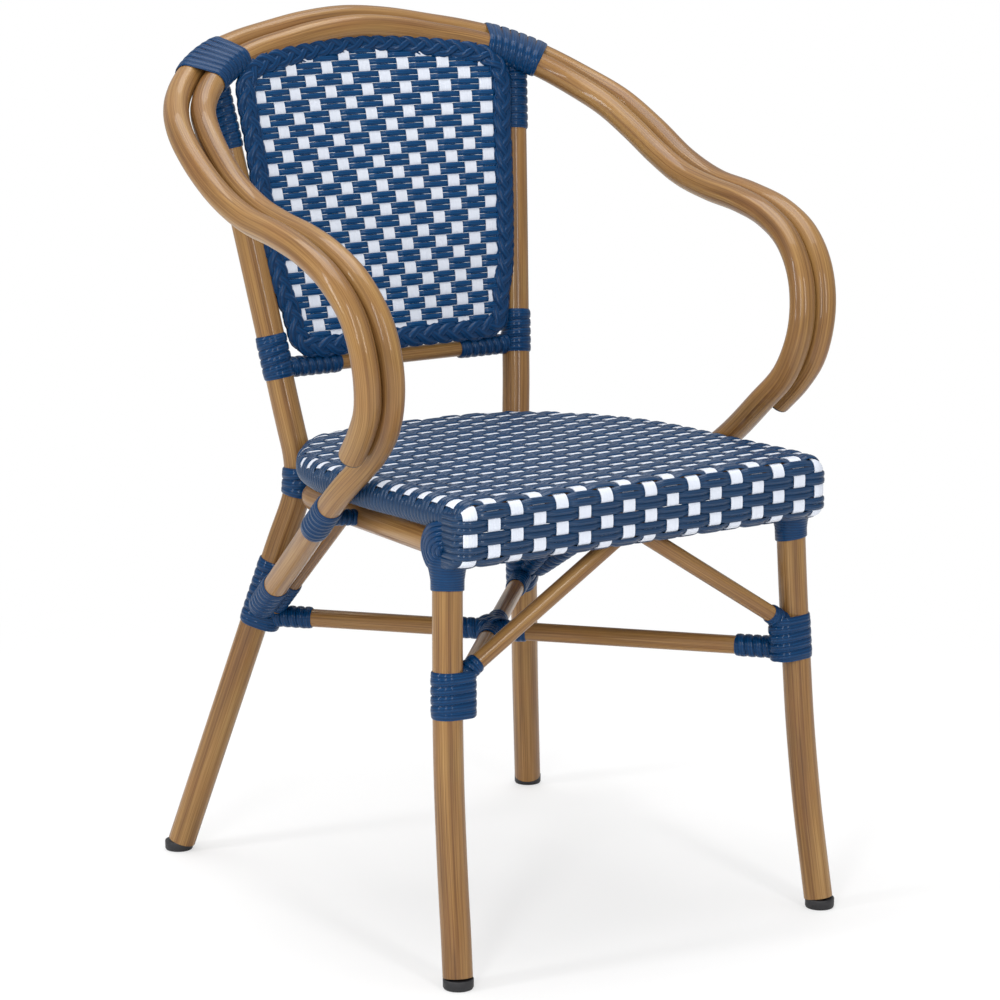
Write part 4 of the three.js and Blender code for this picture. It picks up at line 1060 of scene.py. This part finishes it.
# Back panel: a leaning surface that bows back at the top
PANEL_BOTTOM, PANEL_ARCH, PANEL_SHOULDER = 525.2, 817.5, 784.0
PANEL_SHOULDER_HALF, PANEL_CORNER = 150.0, 22.0
PANEL_LEAD, PANEL_POST_GAP = 8.8, 21.0
PANEL_BOW, PANEL_BOW_POWER = 23.0, 1.5
PANEL_SLOPE = 0.9 * (POST_TOP.y - WAIST.y) / (POST_TOP.z - WAIST.z)
panel_post = rear_lines["right"].at_height(PANEL_BOTTOM)
PANEL_FOOT = panel_post.y - PANEL_LEAD
PANEL_BOTTOM_HALF = panel_post.x - PANEL_POST_GAP
PANEL_FRONT = Vector((0, -1, PANEL_SLOPE)).normalized()
ARCH_SHARES = [(0.93, 0.42), (0.79, 0.59), (0.54, 0.77), (0.28, 0.92)]
EDGE_SHARES = [(0.06, 0.07), (0.32, 0.155), (0.7, 0.49), (0.88, 0.75), (1, 1)]


def on_panel(x, height):
    rise = (height - PANEL_BOTTOM) / (PANEL_ARCH - PANEL_BOTTOM)
    bow = PANEL_BOW * max(rise, 0.0) ** PANEL_BOW_POWER * (1 - (x / PANEL_SHOULDER_HALF) ** 2)
    return Vector((x, PANEL_FOOT + PANEL_SLOPE * (height - PANEL_BOTTOM) + bow, height))


def panel_half(side):
    flat = [(PANEL_BOTTOM_HALF / 2, PANEL_BOTTOM), (PANEL_BOTTOM_HALF - PANEL_CORNER, PANEL_BOTTOM),
            (PANEL_BOTTOM_HALF - PANEL_CORNER * 0.3, PANEL_BOTTOM + PANEL_CORNER * 0.3)]
    flat += [(mix(PANEL_BOTTOM_HALF, PANEL_SHOULDER_HALF, x),
              mix(PANEL_BOTTOM + PANEL_CORNER, PANEL_SHOULDER, z)) for x, z in EDGE_SHARES]
    flat += [(PANEL_SHOULDER_HALF * x, mix(PANEL_SHOULDER, PANEL_ARCH, z)) for x, z in ARCH_SHARES]
    return [on_panel(side * x, z) for x, z in flat]


panel_line = smooth_line([on_panel(0, PANEL_BOTTOM)] + panel_half(1) + [on_panel(0, PANEL_ARCH)]
                         + panel_half(-1)[::-1], closed=True)
PANEL_EDGE = [(place.z, place.x) for place in (panel_line.at(i / 400 * 0.5) for i in range(401))]


def panel_half_at(height):
    """Half width of the border's centre line at a height."""
    return max((x for z, x in PANEL_EDGE if abs(z - height) < 3), default=0.0)


BACK_ROW = 11.85
BACK_FIRST_ROW = 545.3
BACK_STRIP_SHIFT = 47.0
BACK_STRAND_WIDTH, BACK_STRAND_THICKNESS, BACK_STRAND_WAVE = 5.8, 2.1, 1.25
FAN_TABLE = [(525, 18.8), (550, 19.2), (605, 19.95), (650, 20.75), (702, 21.4), (749, 22.0), (772, 22.25),
             (830, 22.8)]


def back_wefts():
    bm = fresh_mesh()
    section = domed_section(BACK_STRAND_WIDTH, BACK_STRAND_THICKNESS)
    for row in range(-1, 23):
        for strand in (-1, 1):
            height = BACK_FIRST_ROW + row * BACK_ROW + strand * BACK_ROW * SPLIT
            half = panel_half_at(height)
            if half < 15:
                continue
            pitch = table_value(FAN_TABLE, height)
            places = []
            for x in stations(half, pitch):
                lift = BACK_STRAND_WAVE * weave(x, pitch, row) - STRAND_LIFT
                places.append(on_panel(x, height) + PANEL_FRONT * lift)
            carried(bm, framed(places, [PANEL_FRONT] * len(places)), section)
    return piece("back_wefts", bm, blue_weft, "blue_white_weave", "woven_back")


def back_warps():
    bm = fresh_mesh()
    for column in range(-6, 7):
        rings = []
        height = PANEL_BOTTOM
        while True:
            middle = column * table_value(FAN_TABLE, height)
            outside = abs(middle) > panel_half_at(height) and height > PANEL_SHOULDER
            if outside or height > PANEL_ARCH - 2:
                break
            wave = weave(height - BACK_FIRST_ROW, BACK_ROW, column)
            rings.append(strip_ring(lambda x, lift: on_panel(x, height) + PANEL_FRONT * lift, middle,
                                    STRIP_LIFT - STRIP_WAVE * wave, height + column * BACK_STRIP_SHIFT))
            height += BACK_ROW / 6
        shell(bm, rings)
    return piece("back_warps", bm, white_strip, "blue_white_weave")


back_wefts()
back_warps()

# Plaited border: lobes of strand laid from each edge in towards the middle, over a core
CORE_HALF, CORE_DEPTH, CORE_STEPS = 8.7, 3.6, 160
LOBE_PITCH, LOBE_WIDTH, LOBE_THICKNESS, LOBE_START, LOBE_SINK, LOBE_LEAN = 17.8, 7.6, 2.6, 10, 1.6, 14
# A lobe's places: across from the middle, back along the border, and up from the panel
LOBE = [(3.6, -6.8, -0.9), (5.6, -4.4, -0.2), (6.8, -1.6, 0.7), (7.4, 1.8, 1.7), (7.2, 6.0, 2.8),
        (5.6, 10.5, 3.7), (3.2, 14.0, 4.2), (0.4, 17.5, 4.2), (-2.0, 20.5, 3.4)]


def border_frame(share):
    """Place and outward direction on the border's centre line."""
    return panel_line.at(share), panel_line.along(share).cross(PANEL_FRONT).normalized()


def plaited_border():
    bm = fresh_mesh()
    core = [(CORE_HALF * u, CORE_DEPTH * v) for u, v in round_section(1.0, 12)]
    frames = []
    for i in range(CORE_STEPS):
        place, outward = border_frame(i / CORE_STEPS)
        frames.append((place, outward, PANEL_FRONT, i * panel_line.length / CORE_STEPS))
    carried(bm, frames, core, closed=True)
    lobes = round(panel_line.length / LOBE_PITCH)
    section = domed_section(LOBE_WIDTH, LOBE_THICKNESS, 6)
    for face in (1, -1):
        for edge in (1, -1):
            for lobe in range(lobes):
                middle = (lobe + (0.5 if edge > 0 else 0.0)) / lobes
                places, outwards = [], []
                for across, back, rise in LOBE:
                    place, outward = border_frame(middle - (back - LOBE_START) / panel_line.length)
                    lift = PANEL_FRONT * (face * (rise - LOBE_SINK))
                    places.append(place + outward * (edge * across) + lift)
                    lean = outward * (edge * across / LOBE_LEAN)
                    outwards.append((PANEL_FRONT * face + lean).normalized())
                carried(bm, framed(places, outwards), section)
    return piece("back_border_plait", bm, blue_braid, "blue_strand", "back_border", "back_panel_rod")


plaited_border()


# Cheeks: strand fanned in arcs over each front corner, and wound on down the leg as a neck
CHEEK_BACK, CHEEK_HEIGHT, CHEEK_ASIDE = 222.0, 404.0, 212.3
CHEEK_ARCS, CHEEK_STEPS, CHEEK_FROM, CHEEK_TO = 6, 32, 76, 264
CHEEK_LENGTH, CHEEK_TURN, CHEEK_ABOVE, CHEEK_BELOW, CHEEK_TILT = 42.0, 19.0, 27.0, 22.0, 3.0
CHEEK_SINK, CHEEK_SINK_STEPS, CHEEK_WIDEN, CHEEK_SHIFT = 8.0, 7, 1.08, 53
CHEEK_BEND, CHEEK_BEND_FROM, CHEEK_BEND_REACH, CHEEK_ROUND, CHEEK_DOME = 9.0, 207, 40, 2.0, 0.25


def cheek(name, side):
    bm = fresh_mesh()
    for arc in range(CHEEK_ARCS):
        size = (arc + 0.6) / CHEEK_ARCS
        frames = []
        distance = 0.0
        for i in range(CHEEK_STEPS + 1):
            turn = radians(mix(CHEEK_FROM, CHEEK_TO, i / CHEEK_STEPS))
            tall = CHEEK_ABOVE if sin(turn) > 0 else CHEEK_BELOW
            back = -cos(turn)
            y = -CHEEK_BACK + CHEEK_LENGTH * size * back
            z = CHEEK_HEIGHT + tall * size * sin(turn) - CHEEK_TILT * size * back
            x = CHEEK_ASIDE - CHEEK_SINK * (1 - smooth_share(min(i, CHEEK_STEPS - i) / CHEEK_SINK_STEPS))
            x -= CHEEK_BEND * smooth_share((y + CHEEK_BEND_FROM) / CHEEK_BEND_REACH)
            x -= CHEEK_ROUND * smooth_share(abs(z - CHEEK_HEIGHT) / CHEEK_BELOW) * size
            place = Vector((side * x, y, z))
            radial = Vector((0, CHEEK_TURN * back, CHEEK_LENGTH * sin(turn))).normalized()
            outward = (Vector((side, 0, 0)) + radial * CHEEK_DOME * size).normalized()
            along = Vector((0, sin(turn) * CHEEK_LENGTH, cos(turn) * CHEEK_TURN)).normalized()
            across = along.cross(outward).normalized()
            wide = hypot(CHEEK_LENGTH * back, tall * sin(turn)) / CHEEK_ARCS * CHEEK_WIDEN
            if frames:
                distance += (place - frames[-1][0]).length
            frames.append((place, across * wide, outward, distance + arc * CHEEK_SHIFT))
        carried(bm, frames, domed_section(0.96, 2.4, 6))
    return piece(f"cheek_rosette_{name}_fan", bm, blue_braid, "blue_strand", f"cheek_rosette_{name}")


# The neck's height, and its reach to the front, the back and the side
NECK = [(364.0, 15.0, 15.0, 15.0), (365.0, 15.5, 15.5, 15.5), (374.0, 15.6, 15.6, 15.6),
        (381.0, 17.0, 18.0, 16.4), (387.0, 20.0, 22.5, 16.6), (392.0, 25.0, 27.0, 16.2),
        (398.0, 30.0, 31.0, 15.6), (404.0, 32.0, 33.0, 14.6)]
NECK_SLANT_ASIDE, NECK_SLANT_BACK, NECK_SLANT_BELOW, NECK_SIDES = 1.6, 2.2, 370, 40


def neck(name, side):
    """The wound neck below a cheek."""
    bm = fresh_mesh()
    leg = front_lines[name]
    rings = []
    for height, ahead, behind, beside in NECK:
        place = leg.at_height(height)
        ring = []
        for i in range(NECK_SIDES):
            turn = 2 * pi * i / NECK_SIDES
            x, y = cos(turn), sin(turn)
            y *= behind if y > 0 else ahead
            slant = 0.0
            if height < NECK_SLANT_BELOW:
                slant = NECK_SLANT_ASIDE * x * side - NECK_SLANT_BACK * sin(turn)
            ring.append((Vector((place.x + x * beside, place.y + y, height + slant)),
                         Vector((height * 1.1, 0, turn * 15))))
        rings.append(ring)
    shell(bm, rings)
    return piece(f"binding_front_top_{name}_neck", bm, blue_flat, "blue_strand", f"binding_front_top_{name}")


for name, side in SIDES.items():
    cheek(name, side)
    neck(name, side)


# Floor, lights and world
def area_light(name, place, target, size, power):
    lamp = bpy.data.lights.new(name, "AREA")
    lamp.shape = "RECTANGLE"
    lamp.size, lamp.size_y = size
    lamp.energy = power
    made = linked(name, lamp)
    made.location = place
    aim(made, Vector(target) - Vector(place))


ahead = Vector((camera_back.x, camera_back.y, 0)).normalized()
to_right = Vector((-ahead.y, ahead.x, 0))
LAMP_DISTANCE, LAMP_HEIGHT = 3.0, 1.75
for name, degrees, power in (("left_softbox", -62, 36), ("middle_softbox", -14, 30),
                             ("right_softbox", 30, 30)):
    angle = radians(degrees)
    place = (ahead * cos(angle) + to_right * sin(angle)) * LAMP_DISTANCE
    place.z = LAMP_HEIGHT
    area_light(name, place, (0, 0, 0.5), (0.4, 2.0), power)
area_light("top_softbox", (0.1, 0.3, 3.1), (0, 0, 0.4), (2.2, 2.2), 62)

floor_mesh = bpy.data.meshes.new("floor")
bm = bmesh.new()
bmesh.ops.create_grid(bm, x_segments=1, y_segments=1, size=40)
bm.to_mesh(floor_mesh)
bm.free()
linked("floor", floor_mesh)

# The floor turns to plain white for the camera away from the chair, and keeps the chair's shadow
finish = Finish("floor", roughness=0.9)
finish.set(finish.shader, {"Base Color": (0.9, 0.9, 0.9, 1)})
seen = finish.node("ShaderNodeLightPath", {}, {})
direct = Number(finish, seen.outputs["Is Camera Ray"])
spot = finish.node("ShaderNodeTexCoord", {}, {}).outputs["Object"]
reach = finish.node("ShaderNodeVectorMath", {"operation": "LENGTH"}, {0: spot}).outputs["Value"]
fade = finish.node("ShaderNodeMapRange", {"interpolation_type": "SMOOTHSTEP"},
                   {"Value": reach, "From Min": 0.35, "From Max": 1.25, "To Min": 0.55, "To Max": 1.0})
white = finish.node("ShaderNodeEmission", {}, {"Color": (1, 1, 1, 1), "Strength": 1.0})
shown = finish.node("ShaderNodeMixShader", {}, {0: direct * Number(finish, fade.outputs[0]),
                                                1: finish.shader.outputs[0], 2: white.outputs[0]})
finish.set(finish.nodes["Material Output"], {"Surface": shown.outputs[0]})
floor_mesh.materials.append(finish.material)

# The world: plain white to the camera, dimmer in reflections, and half as strong as light
MIRRORED_SHARE = 0.15
world = bpy.data.worlds.new("studio")
bpy.context.scene.world = world
studio = Tree(world)
rays = studio.node("ShaderNodeLightPath", {}, {})
mirrored = Number(studio, rays.outputs["Is Glossy Ray"]) * MIRRORED_SHARE
shown = Number(studio, rays.outputs["Is Camera Ray"]).larger(mirrored)
studio.set(studio.nodes["Background"], {"Color": (1, 1, 1, 1), "Strength": shown * 0.5 + 0.5})

bpy.context.scene.view_settings.view_transform = "Standard"
